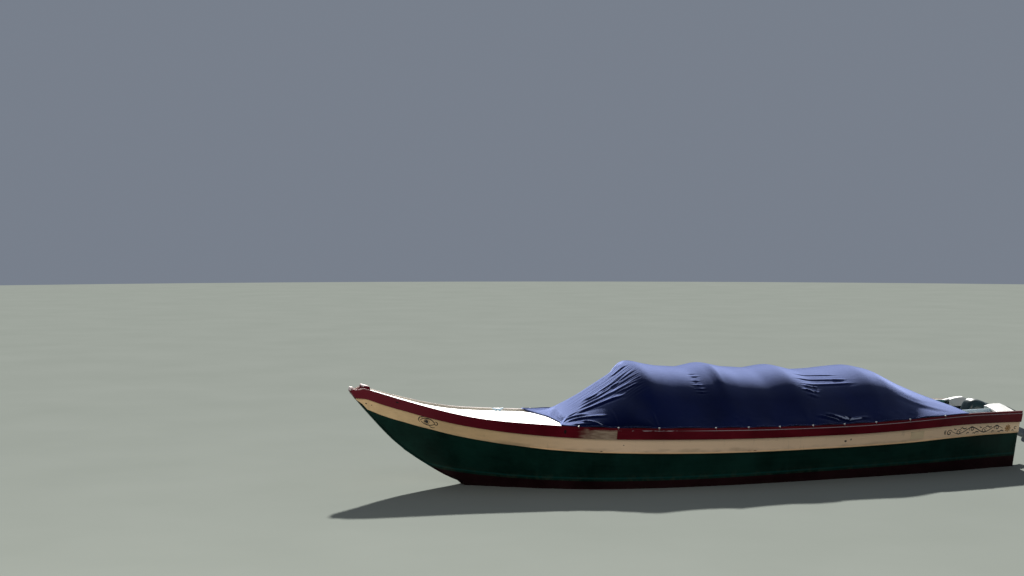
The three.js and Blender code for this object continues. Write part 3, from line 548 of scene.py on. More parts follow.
def softened(values, xs, reach):
    """Rounds the corners of a line with a weighted mean over a reach, in metres."""
    step = xs[1] - xs[0]
    offsets = np.arange(-int(3 * reach / step), int(3 * reach / step) + 1)
    weights = np.exp(-((offsets * step / reach) ** 2) / 2)
    padded = np.pad(values, len(offsets) // 2, mode="reflect", reflect_type="odd")
    return np.convolve(padded, weights / weights.sum(), mode="valid")


def smooth_step(value, low, high):
    t = np.clip((value - low) / (high - low), 0, 1)
    return t * t * (3 - 2 * t)


FAIR_X = np.linspace(STATIONS[0, 0], STATIONS[-1, 0], 1400)
FAIR_REACH = 0.13
FAIR_FROM, FAIR_FULL = 0.20, 0.60
calm_share = smooth_step(aft_of(FAIR_X), FAIR_FROM, FAIR_FULL)
fair_lines = []
for knots in STATIONS.T[1:]:
    curve = smooth_curve(FAIR_X, STATIONS[:, 0], knots)
    fair_lines.append(curve + (softened(curve, FAIR_X, FAIR_REACH) - curve) * calm_share)
FAIR = np.column_stack([FAIR_X, *fair_lines])


def straight_row(x):
    return read_at(x, STATIONS)


def fair_row(x):
    """Rail half breadth, rail top, plank foot half breadth and plank foot height at x."""
    return read_at(x, FAIR)


def faired(points):
    """Points of a hull piece, bent from the straight runs to the fair curve."""
    straight = straight_row(points[:, 0])
    bend = fair_row(points[:, 0]) - straight
    up = np.clip((points[:, 2] - straight[3]) / (straight[1] - straight[3]), 0, 1.1)
    half = straight[2] + (straight[0] - straight[2]) * up
    wider = bend[2] * (1 - up) + bend[0] * up
    moved = points.copy()
    moved[:, 1] *= 1 + wider / half
    moved[:, 2] += bend[3] * (1 - up) + bend[1] * up
    return moved


def rail_top(x):
    return fair_row(x)[1]


places = np.linspace(STATIONS[0, 0], STATIONS[-1, 0], 200)
print("largest bend, mm:", (np.abs(fair_row(places) - straight_row(places)).max(1) * 1000).round(1))


# %% [markdown]
# A piece for finishing starts as a copy of its frame solid. The solid is loose triangles, so
# the copy is merged, its triangle pairs become four-sided faces, and cuts across the boat give
# it enough rings to bend. Bevels then round the edges as sandpaper and paint do.

# %% Copy, cut, bend and round a frame solid
RING_SPACING = 0.06
SHARP = math.radians(28)
WELD_DISTANCE = 0.00002
FLAT_PAIR = math.radians(6)
ANY_CORNER = math.radians(100)
CUT_TOLERANCE = 0.0004
BEVEL_SEGMENTS = 2


def welded(node):
    shape = bmesh.new()
    shape.from_mesh(NODES[node].data)
    bmesh.ops.remove_doubles(shape, verts=shape.verts, dist=WELD_DISTANCE)
    bmesh.ops.join_triangles(
        shape, faces=shape.faces, angle_face_threshold=FLAT_PAIR, angle_shape_threshold=ANY_CORNER,
    )
    return shape


def add_object(name, data):
    """A new object in the scene, for a mesh, a camera or a light."""
    thing = bpy.data.objects.new(name, data)
    bpy.context.scene.collection.objects.link(thing)
    return thing


def mesh_object(shape, name, materials):
    mesh = bpy.data.meshes.new(name)
    shape.to_mesh(mesh)
    shape.free()
    for material in materials:
        mesh.materials.append(material)
    return add_object(name, mesh)


def object_from(shape, name, materials, body, *replaced):
    """Makes the finished shape an object on a body, in place of the nodes that it stands for."""
    piece = mesh_object(shape, name, materials)
    piece.data.polygons.foreach_set("use_smooth", [True] * len(piece.data.polygons))
    piece.data.update()
    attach(piece, body)
    if replaced:
        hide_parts(*replaced)
    return piece


def rounded(piece, width, angle=SHARP):
    bevel = piece.modifiers.new("rounded edges", "BEVEL")
    bevel.width = width
    bevel.segments = BEVEL_SEGMENTS
    bevel.limit_method = "ANGLE"
    bevel.angle_limit = angle
    bevel.miter_outer = "MITER_ARC"
    normals = piece.modifiers.new("flat faces", "WEIGHTED_NORMAL")
    normals.keep_sharp = True
    return piece


def mark_sharp(shape, angle=SHARP):
    for edge in shape.edges:
        edge.smooth = not (edge.is_boundary or (edge.is_manifold and edge.calc_face_angle() > angle))


def cut_into_rings(shape):
    """Cuts the shape across at an even spacing, and says where."""
    xs = [vertex.co.x for vertex in shape.verts]
    count = int((max(xs) - min(xs)) / RING_SPACING)
    cuts = np.linspace(min(xs), max(xs), count + 2)[1:-1]
    for x in cuts:
        everything = [*shape.verts, *shape.edges, *shape.faces]
        bmesh.ops.bisect_plane(
            shape, geom=everything, dist=CUT_TOLERANCE, plane_co=(x, 0, 0), plane_no=(1, 0, 0),
        )
    return cuts


def add_run_layer(shape):
    """Gives each corner its metres aft, and its metres below the rail's top."""
    layer = shape.loops.layers.uv.new("run")
    shape.verts.index_update()
    places = np.array([vertex.co for vertex in shape.verts])
    below = rail_top(places[:, 0]) - places[:, 2]
    for face in shape.faces:
        for loop in face.loops:
            i = loop.vert.index
            loop[layer].uv = (aft_of(places[i, 0]), below[i])


def bend_to_fair(shape):
    moved = faired(np.array([vertex.co for vertex in shape.verts]))
    for vertex, place in zip(shape.verts, moved):
        vertex.co = place


STEM_REACH = 0.075
STEM_FROM, STEM_FULL = 0.06, 0.20


def bend_leading_edge(shape, cuts):
    """Makes the stem's leading edge one curve from its head to the forefoot."""
    lows = [min(v.co.z for v in shape.verts if abs(v.co.x - x) < SAME_PLACE) for x in cuts]
    xs = np.linspace(min(cuts), max(cuts), 500)
    edge = np.interp(xs, cuts, lows)
    shift = softened(edge, xs, STEM_REACH) - edge
    for vertex in shape.verts:
        share = smooth_step(aft_of(vertex.co.x), STEM_FROM, STEM_FULL)
        vertex.co.z += float(np.interp(vertex.co.x, xs, shift) * share)


CROWN_AT, CROWN_LONG, CROWN_LEAST = 6.88, 0.19, 0.10


def crown(shape):
    """Shapes the quarter deck's raised part into a hump that falls away fore and aft."""
    for vertex in shape.verts:
        top = rail_top(vertex.co.x)
        away = (aft_of(vertex.co.x) - CROWN_AT) / CROWN_LONG
        share = max(1 - away * away, CROWN_LEAST**2) ** 0.5
        if vertex.co.z > top:
            vertex.co.z = top + (vertex.co.z - top) * share


LOOKS_INBOARD = -0.02


def hull_piece(node, width, finish, inner):
    shape = welded(node)
    cuts = cut_into_rings(shape)
    bend_to_fair(shape)
    if node == "stem_post":
        bend_leading_edge(shape, cuts)
    if node.startswith("quarter_deck"):
        crown(shape)
    mark_sharp(shape)
    add_run_layer(shape)
    shape.normal_update()
    if inner:
        for face in shape.faces:
            across = face.normal.y * face.calc_center_median().y
            face.material_index = int(across < LOOKS_INBOARD)
    triangles = sum(len(face.verts) == 3 for face in shape.faces)
    print(node, len(shape.faces), "faces,", triangles, "of them triangles")
    materials = [PAINT[each] for each in (finish, inner) if each]
    name = node.replace("_", "-") + "-faired"
    return rounded(object_from(shape, name, materials, "root", node), width)


# %% [markdown]
# Planks, strakes, rails and decks are all bent by the same rule. The rails' inner faces are
# painted beige, which shows as a pale strip along the far side of the deck.

# %% Hull pieces
HULL_PIECES = (
    # node, finish, edge radius, finish of the faces that look inboard
    ("bottom_planking", "hull", 0.004, None),
    ("side_planking", "hull", 0.003, "teal"),
    ("sheer_strake", "strake", 0.003, None),
    ("rub_rail", "rail", 0.005, "beige"),
    ("side_deck", "deck", 0.003, None),
    # The coaming's pale blue is painted shade and sky reflection, standing for white paint in shade.
    ("coaming", "blue", 0.004, "teal"),
    ("quarter_deck", "deck", 0.009, None),
    ("stem_post", "stem", 0.006, None),
    ("bow_block", "block", 0.008, None),
    ("foredeck", "deck", 0.003, None),
    ("foredeck_beam", "teal", 0.004, None),
    ("floorboards", "boards", 0.002, None),
    ("transom", "hull", 0.004, None),
)
for stem_name, finish, radius, inner in HULL_PIECES:
    both = [f"{stem_name}_{side}" for side, _ in SIDES]
    for node in [stem_name] if stem_name in NODES else both:
        hull_piece(node, radius, finish, inner)

# %% [markdown]
# Other solid pieces keep their straight lines and only need rounded edges and a finish: the
# blank plate, the hoops and thwarts, and the cast and forged parts of the motor.

# %% Straight pieces
STRAIGHT_PIECES = [
    # node, finish, edge radius, body
    ("registration_plate", "plate", 0.0015, "root"),
    ("motor_clamp", "motor_grey", 0.0015, "root"),
    ("motor_swivel", "motor_grey", 0.0015, "motor_tilt_body"),
    ("motor_leg", "motor_grey", 0.002, "motor_steer_body"),
    ("motor_tiller", "motor_grip", 0.002, "motor_steer_body"),
    ("propeller", "propeller", 0.0012, "propeller_body"),
]
STRAIGHT_PIECES += [
    (node, "teal", 0.004, "root") for node in NODES if node.startswith(("frame_", "thwart"))
]
HOOP_EDGE = 0.0005
HOOP_SHARP = math.radians(60)


def plain_piece(node, finish, radius, body, angle=SHARP):
    shape = welded(node)
    mark_sharp(shape, angle)
    add_run_layer(shape)
    name = node.replace("_", "-") + "-finished"
    return rounded(object_from(shape, name, [PAINT[finish]], body, node), radius, angle)


for node, finish, radius, body in STRAIGHT_PIECES:
    plain_piece(node, finish, radius, body)
for node in HOOPS:
    plain_piece(node, "hoop", HOOP_EDGE, "root", HOOP_SHARP)
print("finished", len(STRAIGHT_PIECES) + len(HOOPS), "straight pieces")

# %% [markdown]
# The motor's cowl is a soft plastic moulding. The frame's rings are its cage: creased at sharp
# corners, smooth elsewhere. A band, a seam and a stripe are told by the height along the motor.

# %% Motor cowl
PIVOT = (-3.55, 0, 0.445)
UPRIGHT = (0.927184, 0, 0.374607)
COWL_LOW = 0.125
BAND_TOP = COWL_LOW + 0.066
STRIPE_AT = COWL_LOW + 0.150
COWL_TONE = (0.004, 0.026, 0.030)
COWL_DUST = (0.05, 0.07, 0.07)
BAND_TONE = (0.050, 0.055, 0.058)
STRIPE_TONE = (0.16, 0.20, 0.20)
SEAM_TONE = (0.002, 0.002, 0.002)
SCRATCH = (0.12, 0.14, 0.14)
COWL_CREASE = 0.85
COWL_CORNER = math.radians(50)


def cowl_plastic():
    shader = Shader("motor_cowl_moulding")
    x, _, z = shader.axes(shader.place())
    up = (x - PIVOT[0]) * UPRIGHT[0] + (z - PIVOT[2]) * UPRIGHT[2]
    film = shader.noise(6, 4, 0.65).rise(0.45, 0.75)
    base = shader.mix(film * 0.3, COWL_TONE, COWL_DUST)
    base = shader.mix(up.rise(BAND_TOP, BAND_TOP - 0.002), base, BAND_TONE)
    base = shader.mix(abs(up - STRIPE_AT).rise(0.014, 0.012) * 0.9, base, STRIPE_TONE)
    seam = abs(up - BAND_TOP).rise(0.0032, 0.0015)
    base = shader.mix(seam, base, SEAM_TONE)
    scratches = shader.noise(70, 3, 0.7, stretch=(0.2, 1, 1)).rise(0.66, 0.72)
    base = shader.mix(scratches * 0.4, base, SCRATCH)
    rough = 0.26 + film * 0.25 + scratches * 0.2
    return shader.finish(base, rough, shader.bump(seam * -1, 0.003))


shape = welded("motor_cowl")
crease = shape.edges.layers.float.new("crease_edge")
for edge in shape.edges:
    edge[crease] = COWL_CREASE if edge.calc_face_angle(0) > COWL_CORNER else 0.0
add_run_layer(shape)
cowl = object_from(shape, "motor-cowl-moulding", [cowl_plastic()], "motor_steer_body", "motor_cowl")
soft = cowl.modifiers.new("moulding", "SUBSURF")
soft.levels = soft.render_levels = 2
print("cowl cage:", len(cowl.data.polygons), "faces")

# %% [markdown]
# ## The cloth cover
# The cover is one sheet of coated canvas, hooked along both rails and stretched over the hoops.
# Cloth simulation would make its own folds, but this cover has folds in known places: pleats
# that run from the front edge up to the first hoop, puckers beside a seam, and small creases at
# the hooks. So a bmesh grid is laid on the section that a tight sheet takes over a hoop,
# straight from the rail and then round, and each fold is added along the surface normal.

# %% The cover's measures
COVER_LIFT = 0.0045
HEM_IN = 0.004
ROWS_FRONT, ROWS_BACK = 120, 112
COLUMNS_PORT, COLUMNS_STARBOARD = 138, 50
HOOP_X = [(low.x + high.x) / 2 for low, high in map(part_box, HOOPS)]
COVER_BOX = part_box("cover")
GRID_SPLIT = HOOP_X[0] - 0.02
SHEET_SET_IN = 0.10
SHEET_HOLLOW = 0.018
STRAIGHT_SHARE = 0.20
FRONT_AFT = 1.91
FRONT_SKEW = 0.05
FRONT_BOW = 0.08
RIDGE_SOFT = 0.028
# Metres aft, and metres that the ridge lies below the frame's straight runs.
FRONT_SAG = np.array((
    (1.95, 0.006), (2.01, 0.020), (2.08, 0.014), (2.20, 0.020), (2.35, 0.026), (2.55, 0.038),
    (2.65, 0.031), (2.74, 0.008), (2.79, -0.005), (2.81, -0.007), (2.90, -0.007), (2.96, 0.0),
))

top_rows = []
for x, points in rings_of("cover"):
    top_rows.append((x, max(point.z for point in points if abs(point.y) < SAME_PLACE)))
TOP_ROWS = np.array(sorted(top_rows))
FINE_X = np.linspace(TOP_ROWS[0, 0], TOP_ROWS[-1, 0], 1200)
sag = read_at(aft_of(FINE_X), FRONT_SAG)[0]
FINE_TOP = softened(read_at(FINE_X, TOP_ROWS)[0] - sag, FINE_X, RIDGE_SOFT)
print("cover runs from", round(aft_of(COVER_BOX[1].x), 3), "to", round(aft_of(COVER_BOX[0].x), 3))


# %% The sheet over the hoops
def cover_grid_places():
    """Each grid point's x, and each column's share of the way from port to starboard."""
    front = np.linspace(1, 0, ROWS_FRONT)
    back = np.linspace(GRID_SPLIT, COVER_BOX[0].x, ROWS_BACK + 1)[1:]
    port = np.linspace(0, 0.5, COLUMNS_PORT)
    starboard = np.linspace(0.5, 1, COLUMNS_STARBOARD + 1)[1:]
    across = np.concatenate([port, starboard])
    edge_x = np.full_like(across, BOW_X - FRONT_AFT)
    out = tight_sheet(edge_x, across)[:, 1] / fair_row(edge_x)[0]
    edge = edge_x - FRONT_SKEW * (1 - out) / 2 - FRONT_BOW * (1 - out**2)
    front_x = GRID_SPLIT + front[:, None] * (edge - GRID_SPLIT)
    back_x = np.repeat(back[:, None], len(across), axis=1)
    return np.concatenate([front_x, back_x]), across


def between_hoops(x):
    """0 at a hoop and 1 half way between two."""
    edges = np.array([COVER_BOX[0].x, *sorted(HOOP_X), COVER_BOX[1].x])
    i = np.clip(np.searchsorted(edges, x) - 1, 0, len(edges) - 2)
    t = (x - edges[i]) / (edges[i + 1] - edges[i])
    return np.sin(math.pi * np.clip(t, 0, 1)) ** 1.5


NEAR_BLEND, FAR_BLEND = 0.34, 0.08
PORT_FULL = (2.3, 0.60)
FAR_HOLLOW = 1.8
RIDGE_ROUND = 0.10


def front_share(y, hem_half):
    """Ahead of the first hoop the near side is full and the far side hangs hollow from a ridge."""
    out = np.clip(np.abs(y) / hem_half, 0, 1)
    near = (1 - out ** PORT_FULL[0]) ** PORT_FULL[1]
    far = (1 - np.sqrt(out**2 + RIDGE_ROUND**2) + RIDGE_ROUND) ** FAR_HOLLOW
    far -= (1 - math.hypot(1, RIDGE_ROUND) + RIDGE_ROUND) ** FAR_HOLLOW * out
    return np.where(y >= 0, near, far)


def tight_sheet(x, t):
    """The sheet's place for each x, where t runs from the port hem to the starboard hem."""
    half, rail, _, _ = fair_row(x)
    base = rail - TOE_RAIL
    hem = rail + COVER_LIFT
    wide = (half - SHEET_SET_IN) * (1 - SHEET_HOLLOW * between_hoops(x))
    tall = np.interp(x, FINE_X, FINE_TOP) - base
    hem_y = (half - HEM_IN) / wide
    hem_z = (hem - base) / tall
    reach = np.maximum(np.hypot(hem_y, hem_z), 1.0001)
    touch = np.arctan2(hem_z, hem_y) + np.arccos(1 / reach)
    q = 2 * np.minimum(t, 1 - t)
    straight = q < STRAIGHT_SHARE
    run = np.clip(q / STRAIGHT_SHARE, 0, 1)
    round_run = np.clip((q - STRAIGHT_SHARE) / (1 - STRAIGHT_SHARE), 0, 1)
    turn = touch + (math.pi / 2 - touch) * round_run
    y = np.where(straight, hem_y + (np.cos(touch) - hem_y) * run, np.cos(turn))
    z = np.where(straight, hem_z + (np.sin(touch) - hem_z) * run, np.sin(turn))
    side = np.where(t <= 0.5, 1, -1)
    across = side * y * wide
    blend = smooth_step(x, HOOP_X[0], HOOP_X[0] + np.where(side > 0, NEAR_BLEND, FAR_BLEND))
    round_z = base + z * tall
    front_z = hem + (base + tall - hem) * front_share(across, half - HEM_IN)
    return np.stack([x, across, round_z + (front_z - round_z) * blend], axis=-1)


FRONT_EDGE_LONG = 0.09
DECK_GAP = 0.013
DECK_ROWS = 48
EDGE_CALM = 2.5
ABOVE_ALL = 3


def surface_of(name):
    """A finished piece's surface, on which a ray finds a place."""
    mesh = bpy.data.objects[name].data
    return BVHTree.FromPolygons([v.co for v in mesh.vertices], [f.vertices for f in mesh.polygons])


DECK_SKIN = surface_of("foredeck-faired")


def deck_under(place):
    """The foredeck's height under a place, or no number beyond its edge."""
    hit = DECK_SKIN.ray_cast(Vector((place[0], place[1], ABOVE_ALL)), Vector((0, 0, -1)))[0]
    return hit.z if hit else math.nan


def laid_on_deck(points):
    """Brings the front edge onto the foredeck over a short way, and keeps the cloth above it."""
    laid = points.copy()
    deck = np.array([[deck_under(place) for place in row] for row in points[:DECK_ROWS]])
    drop = np.nan_to_num(points[0, :, 2] - deck[0] - DECK_GAP)
    drop = softened(drop, np.arange(len(drop)), EDGE_CALM)
    from_edge = np.linalg.norm(points - points[0], axis=2)
    laid[..., 2] -= drop * (1 - smooth_step(from_edge, 0, FRONT_EDGE_LONG))
    least = np.nan_to_num(deck + DECK_GAP, nan=-1)
    laid[:DECK_ROWS, :, 2] = np.maximum(laid[:DECK_ROWS, :, 2], least)
    return laid


def lengths_across(points):
    steps = np.linalg.norm(np.diff(points, axis=1), axis=2)
    return np.concatenate([np.zeros((len(points), 1)), np.cumsum(steps, axis=1)], axis=1)


def normals_of(points):
    along = np.gradient(points, axis=0)
    across = np.gradient(points, axis=1)
    normal = np.cross(across, along)
    normal /= np.maximum(np.linalg.norm(normal, axis=2, keepdims=True), 1e-9)
    return normal * np.where(normal[:, normal.shape[1] // 2, 2].mean() < 0, -1, 1)


GRID_X, COLUMN_T = cover_grid_places()
GRID_T = np.broadcast_to(COLUMN_T, GRID_X.shape)
SHEET = tight_sheet(GRID_X, GRID_T)
ACROSS = lengths_across(SHEET)
WIDTH_AT = ACROSS[:, -1]
ALONG = aft_of(GRID_X)
widths = WIDTH_AT.min().round(2), WIDTH_AT.max().round(2)
print("sheet:", SHEET.shape[:2], "points; narrowest and widest:", *widths)


# %% [markdown]
# A fold is a ridge along a line on the sheet. Each one is named by its two ends, in metres aft
# and metres up from the port hem, and by its width and height. Ahead of the first hoop the cloth
# is gathered: long pleats run up from the front edge, with finer ones between them.

# %% Folds
RIDGES = (
    # aft, up, aft, up, half width, height
    (2.56, 0.895, 2.82, 0.985, 0.015, 0.0062),
    (2.16, 0.50, 2.82, 0.86, 0.016, 0.0066),
    (2.50, 0.61, 2.83, 0.81, 0.015, 0.0062),
    (2.14, 0.44, 2.82, 0.73, 0.016, 0.0066),
    (2.24, 0.56, 2.66, 0.67, 0.015, 0.0054),
    (2.12, 0.375, 2.81, 0.61, 0.017, 0.0080),
    (2.50, 0.47, 2.80, 0.55, 0.016, 0.0068),
    (2.08, 0.285, 2.62, 0.42, 0.017, 0.0130),
    (2.02, 0.30, 2.26, 0.35, 0.012, 0.0060),
    (1.96, 0.275, 2.22, 0.205, 0.016, 0.0100),
    (1.96, 0.16, 2.40, 0.135, 0.016, 0.0130),
    (2.10, 0.09, 2.34, 0.01, 0.013, 0.0110),
    (1.98, 0.035, 2.28, 0.02, 0.013, 0.0100),
    (3.66, 1.12, 3.60, 0.36, 0.032, 0.0100),
    (4.46, 0.765, 5.04, 0.71, 0.011, 0.0048),
    (4.44, 0.645, 5.08, 0.605, 0.011, 0.0060),
    (4.88, 0.612, 5.04, 0.592, 0.009, 0.0065),
    (4.46, 0.54, 5.14, 0.525, 0.016, 0.0060),
    (4.50, 0.51, 4.68, 0.48, 0.011, 0.0100),
    (4.48, 0.45, 4.65, 0.395, 0.012, 0.0120),
    (4.52, 0.38, 4.62, 0.33, 0.012, 0.0080),
    (4.52, 0.12, 4.84, 0.01, 0.012, 0.0170),
    (4.60, 0.14, 4.92, 0.02, 0.013, 0.0220),
    (4.74, 0.10, 4.94, 0.01, 0.012, 0.0190),
    (4.78, 0.03, 5.10, 0.065, 0.013, 0.0220),
    (5.34, 0.70, 6.05, 0.06, 0.050, 0.0015),
    (5.30, 0.95, 6.15, 0.30, 0.060, 0.0020),
    (5.45, 0.35, 6.20, 0.05, 0.030, 0.0030),
)
# Metres aft, and metres up from the port hem. Each is a little higher than the one before.
PUCKERS = ((3.36, 0.78), (3.37, 0.71), (3.35, 0.62), (3.35, 0.54), (3.35, 0.48), (3.35, 0.43))
PUCKER_LONG = 0.075
PUCKER_WIDE = 0.010
PUCKER_HEIGHT = 0.0045
PUCKER_GROWTH = 0.25
FINE_PLEAT = 0.0011
FINE_PLEAT_APART = 0.036
FINE_PLEAT_SLOPE = 0.52
SLOW_WAVES = (
    # height, radians a metre along, radians a metre across, radians at the start
    (0.0022, 3.1, 2.3, 0.0),
    (0.0016, 7.3, -3.9, 1.0),
    (0.0010, 11.7, 8.1, 2.0),
)


def ridge(along, across, from_aft, from_up, to_aft, to_up, width, height):
    run = np.array((to_aft - from_aft, to_up - from_up))
    length = np.hypot(*run)
    share = ((along - from_aft) * run[0] + (across - from_up) * run[1]) / length**2
    off = ((along - from_aft) * run[1] - (across - from_up) * run[0]) / length
    taper = smooth_step(share, 0.0, 0.25) * smooth_step(share, 1.0, 0.70)
    body = np.exp(-((off / width) ** 2)) - 0.4 * np.exp(-((off / width - 1.9) ** 2))
    return height * body * taper


def fine_pleats(along, across):
    lines = across - FINE_PLEAT_SLOPE * along + 0.010 * np.sin(7 * along + 9 * across)
    turns = 2 * math.pi / FINE_PLEAT_APART * lines
    wave = np.sin(turns) + 0.6 * np.sin(0.61 * turns)
    taper = smooth_step(along, 2.02, 2.25) * smooth_step(along, 2.86, 2.74)
    return FINE_PLEAT * wave * taper * smooth_step(across, 0.30, 0.50)


def folds(along, across):
    height = fine_pleats(along, across)
    for row in RIDGES:
        height += ridge(along, across, *row)
    for i, (aft, up) in enumerate(PUCKERS):
        high = PUCKER_HEIGHT * (1 + PUCKER_GROWTH * i)
        height += ridge(along, across, aft, up, aft + PUCKER_LONG, up, PUCKER_WIDE, high)
    return height


def slow_waves(along, across):
    """Slack that a sheet keeps after years of use: a few long waves of a few millimetres."""
    return sum(high * np.sin(a * along + b * across + start) for high, a, b, start in SLOW_WAVES)


print("folds:", len(RIDGES), "ridges and", len(PUCKERS), "puckers")

# %% [markdown]
# Hooks hold the hem every forty centimetres or so. From each hook a few short creases spread
# up the cloth, and between two hooks the hem lifts a little.

# %% Hooks and their creases
HOOKS_PORT = (2.06, 2.44, 2.84, 3.41, 3.75, 4.08, 4.44, 4.79, 5.15, 5.55, 5.98)
HOOKS_STARBOARD = tuple(np.linspace(2.05, 6.05, 11).round(3))
HOOK_CREASES = ((-0.13, 0.17), (-0.03, 0.24), (0.11, 0.19))
CREASE_WIDTH = 0.011
CREASE_HEIGHT = 0.0035
CREASE_FROM = -0.03
HEM_CALM_REACH = 0.05
HEM_CALM_LEAST = 0.25
HEM_LIFT = 0.010
HEM_LIFT_REACH = 0.14


def hook_creases(along, up, hooks):
    height = np.zeros_like(along)
    for i, at in enumerate(hooks):
        for j, (lean, reach) in enumerate(HOOK_CREASES):
            size = 0.7 + 0.3 * math.sin(5 * i + 3 * j)
            line = (at, CREASE_FROM, at + lean, reach * size)
            height += ridge(along, up, *line, CREASE_WIDTH, CREASE_HEIGHT * size)
    return height


def hem_lift(along, hooks):
    places = np.array(hooks)
    i = np.clip(np.searchsorted(places, along) - 1, 0, len(places) - 2)
    t = np.clip((along - places[i]) / (places[i + 1] - places[i]), 0, 1)
    return HEM_LIFT * np.sin(math.pi * t) ** 2


def cover_points():
    sides = ((ACROSS, HOOKS_PORT), (WIDTH_AT[:, None] - ACROSS, HOOKS_STARBOARD))
    out = folds(ALONG, ACROSS) + slow_waves(ALONG, ACROSS)
    for from_hem, hooks in sides:
        out += hook_creases(ALONG, from_hem, hooks)
    inward = np.minimum(*(smooth_step(from_hem, 0.0, HEM_CALM_REACH) for from_hem, _ in sides))
    out *= HEM_CALM_LEAST + (1 - HEM_CALM_LEAST) * inward
    points = laid_on_deck(SHEET + normals_of(SHEET) * out[..., None])
    for from_hem, hooks in sides:
        points[..., 2] += hem_lift(ALONG, hooks) * smooth_step(from_hem, HEM_LIFT_REACH, 0.0)
    return points


COVER = cover_points()
print("cover's highest point:", COVER[..., 2].max().round(3))


# %% [markdown]
# The cloth is coated canvas: dark navy, with a broad pale shine where light skims over it. The
# shine is a sheen over a rough surface, not paint. Thread-sized bumps read the sheet's own UV
# layer, so they follow the cloth.

# %% Cover cloth material
NAVY = (0.0002, 0.0022, 0.026)
NAVY_SHARES = (0.8, 1.35)
CLOTH_DUST = (0.05, 0.07, 0.14)
CREASE_HIGHLIGHT = (0.40, 0.46, 0.66)
CLOTH_SHEEN = (0.39, 0.48, 0.88, 1)
THREAD = 0.004
CLOTH_THICK = 0.002
# Painted highlights: pale lines along a few creases, where the folds catch the light.
CREASE_HIGHLIGHT_LINES = (
    # aft, up, aft, up, half width
    (4.60, 0.097, 4.76, 0.034, 0.0030),
    (4.69, 0.112, 4.85, 0.034, 0.0045),
    (4.80, 0.072, 4.85, 0.032, 0.0050),
    (4.85, 0.030, 5.01, 0.046, 0.0065),
    (4.53, 0.440, 4.60, 0.402, 0.0050),
    (4.55, 0.500, 4.62, 0.483, 0.0040),
    (2.00, 0.165, 2.35, 0.135, 0.0050),
    (2.15, 0.085, 2.30, 0.010, 0.0050),
)


def crease_highlight_mask(shader, u, v):
    """Short lines in the cloth's own metres, painted lighter as highlights where folds catch the
    light.
    """
    wobble = (shader.noise(30, 3) - 0.5) * 0.004

    def line(from_aft, from_up, to_aft, to_up, wide):
        length = math.hypot(to_aft - from_aft, to_up - from_up)
        run = ((to_aft - from_aft) / length, (to_up - from_up) / length)
        share = ((u - from_aft) * run[0] + (v - from_up) * run[1]) / length
        off = abs((u - from_aft) * run[1] - (v - from_up) * run[0] + wobble)
        return off.rise(wide, wide * 0.3) * share.rise(0.0, 0.15) * share.rise(1.0, 0.85)

    return most_of(line(*row) for row in CREASE_HIGHLIGHT_LINES)


def cover_cloth():
    shader = Shader("navy_coated_canvas")
    u, v, _ = shader.axes(shader.uv("cloth"))
    fade = shader.noise(1.6, 4, 0.6)
    tones = [tuple(channel * share for channel in NAVY) for share in NAVY_SHARES]
    base = shader.mix(fade.rise(0.35, 0.68), *tones)
    dust = shader.noise(19, 5, 0.7).rise(0.52, 0.80)
    base = shader.mix(dust * 0.05, base, CLOTH_DUST)
    # Painted highlights along a few creases.
    base = shader.mix(crease_highlight_mask(shader, u, v) * 0.6, base, CREASE_HIGHLIGHT)
    turn = 2 * math.pi / THREAD
    weave = (u * turn).sine() * (v * turn).sine()
    height = weave * 0.12 + shader.noise(26, 4, 0.6)
    return shader.finish(
        base, 0.72 + (fade - 0.5) * 0.12, shader.bump(height, 0.0014, 0.6),
        specular_ior_level=0.0, sheen_weight=1.0, sheen_roughness=0.44, sheen_tint=CLOTH_SHEEN,
    )


PAINT["cover"] = cover_cloth()


def cloth_object(points, us, vs):
    """A bmesh grid whose vertices take their places from an array of rows and columns."""
    row_count, column_count = points.shape[:2]
    shape = bmesh.new()
    bmesh.ops.create_grid(shape, x_segments=column_count - 1, y_segments=row_count - 1, size=0.5)
    shape.verts.ensure_lookup_table()
    layer = shape.loops.layers.uv.new("cloth")
    uv_of = np.stack([us.ravel(), vs.ravel()], axis=1)
    for vertex, place in zip(shape.verts, points.reshape(-1, 3)):
        vertex.co = place
    for face in shape.faces:
        for loop in face.loops:
            loop[layer].uv = uv_of[loop.vert.index]
    shape.normal_update()
    if sum(face.normal.z for face in shape.faces) < 0:
        bmesh.ops.reverse_faces(shape, faces=shape.faces)
    piece = object_from(shape, "canvas-cover", [PAINT["cover"]], "root", "cover")
    solid = piece.modifiers.new("cloth thickness", "SOLIDIFY")
    solid.thickness = CLOTH_THICK
    solid.offset = -1
    return piece


cover = cloth_object(COVER, ALONG, ACROSS)
print("cover faces:", len(cover.data.polygons))

# %% [markdown]
# ## Hem, hooks and beading
# One tool makes every long thin piece: a ring is extruded from point to point along a path,
# turned to follow it, and closed at both ends.

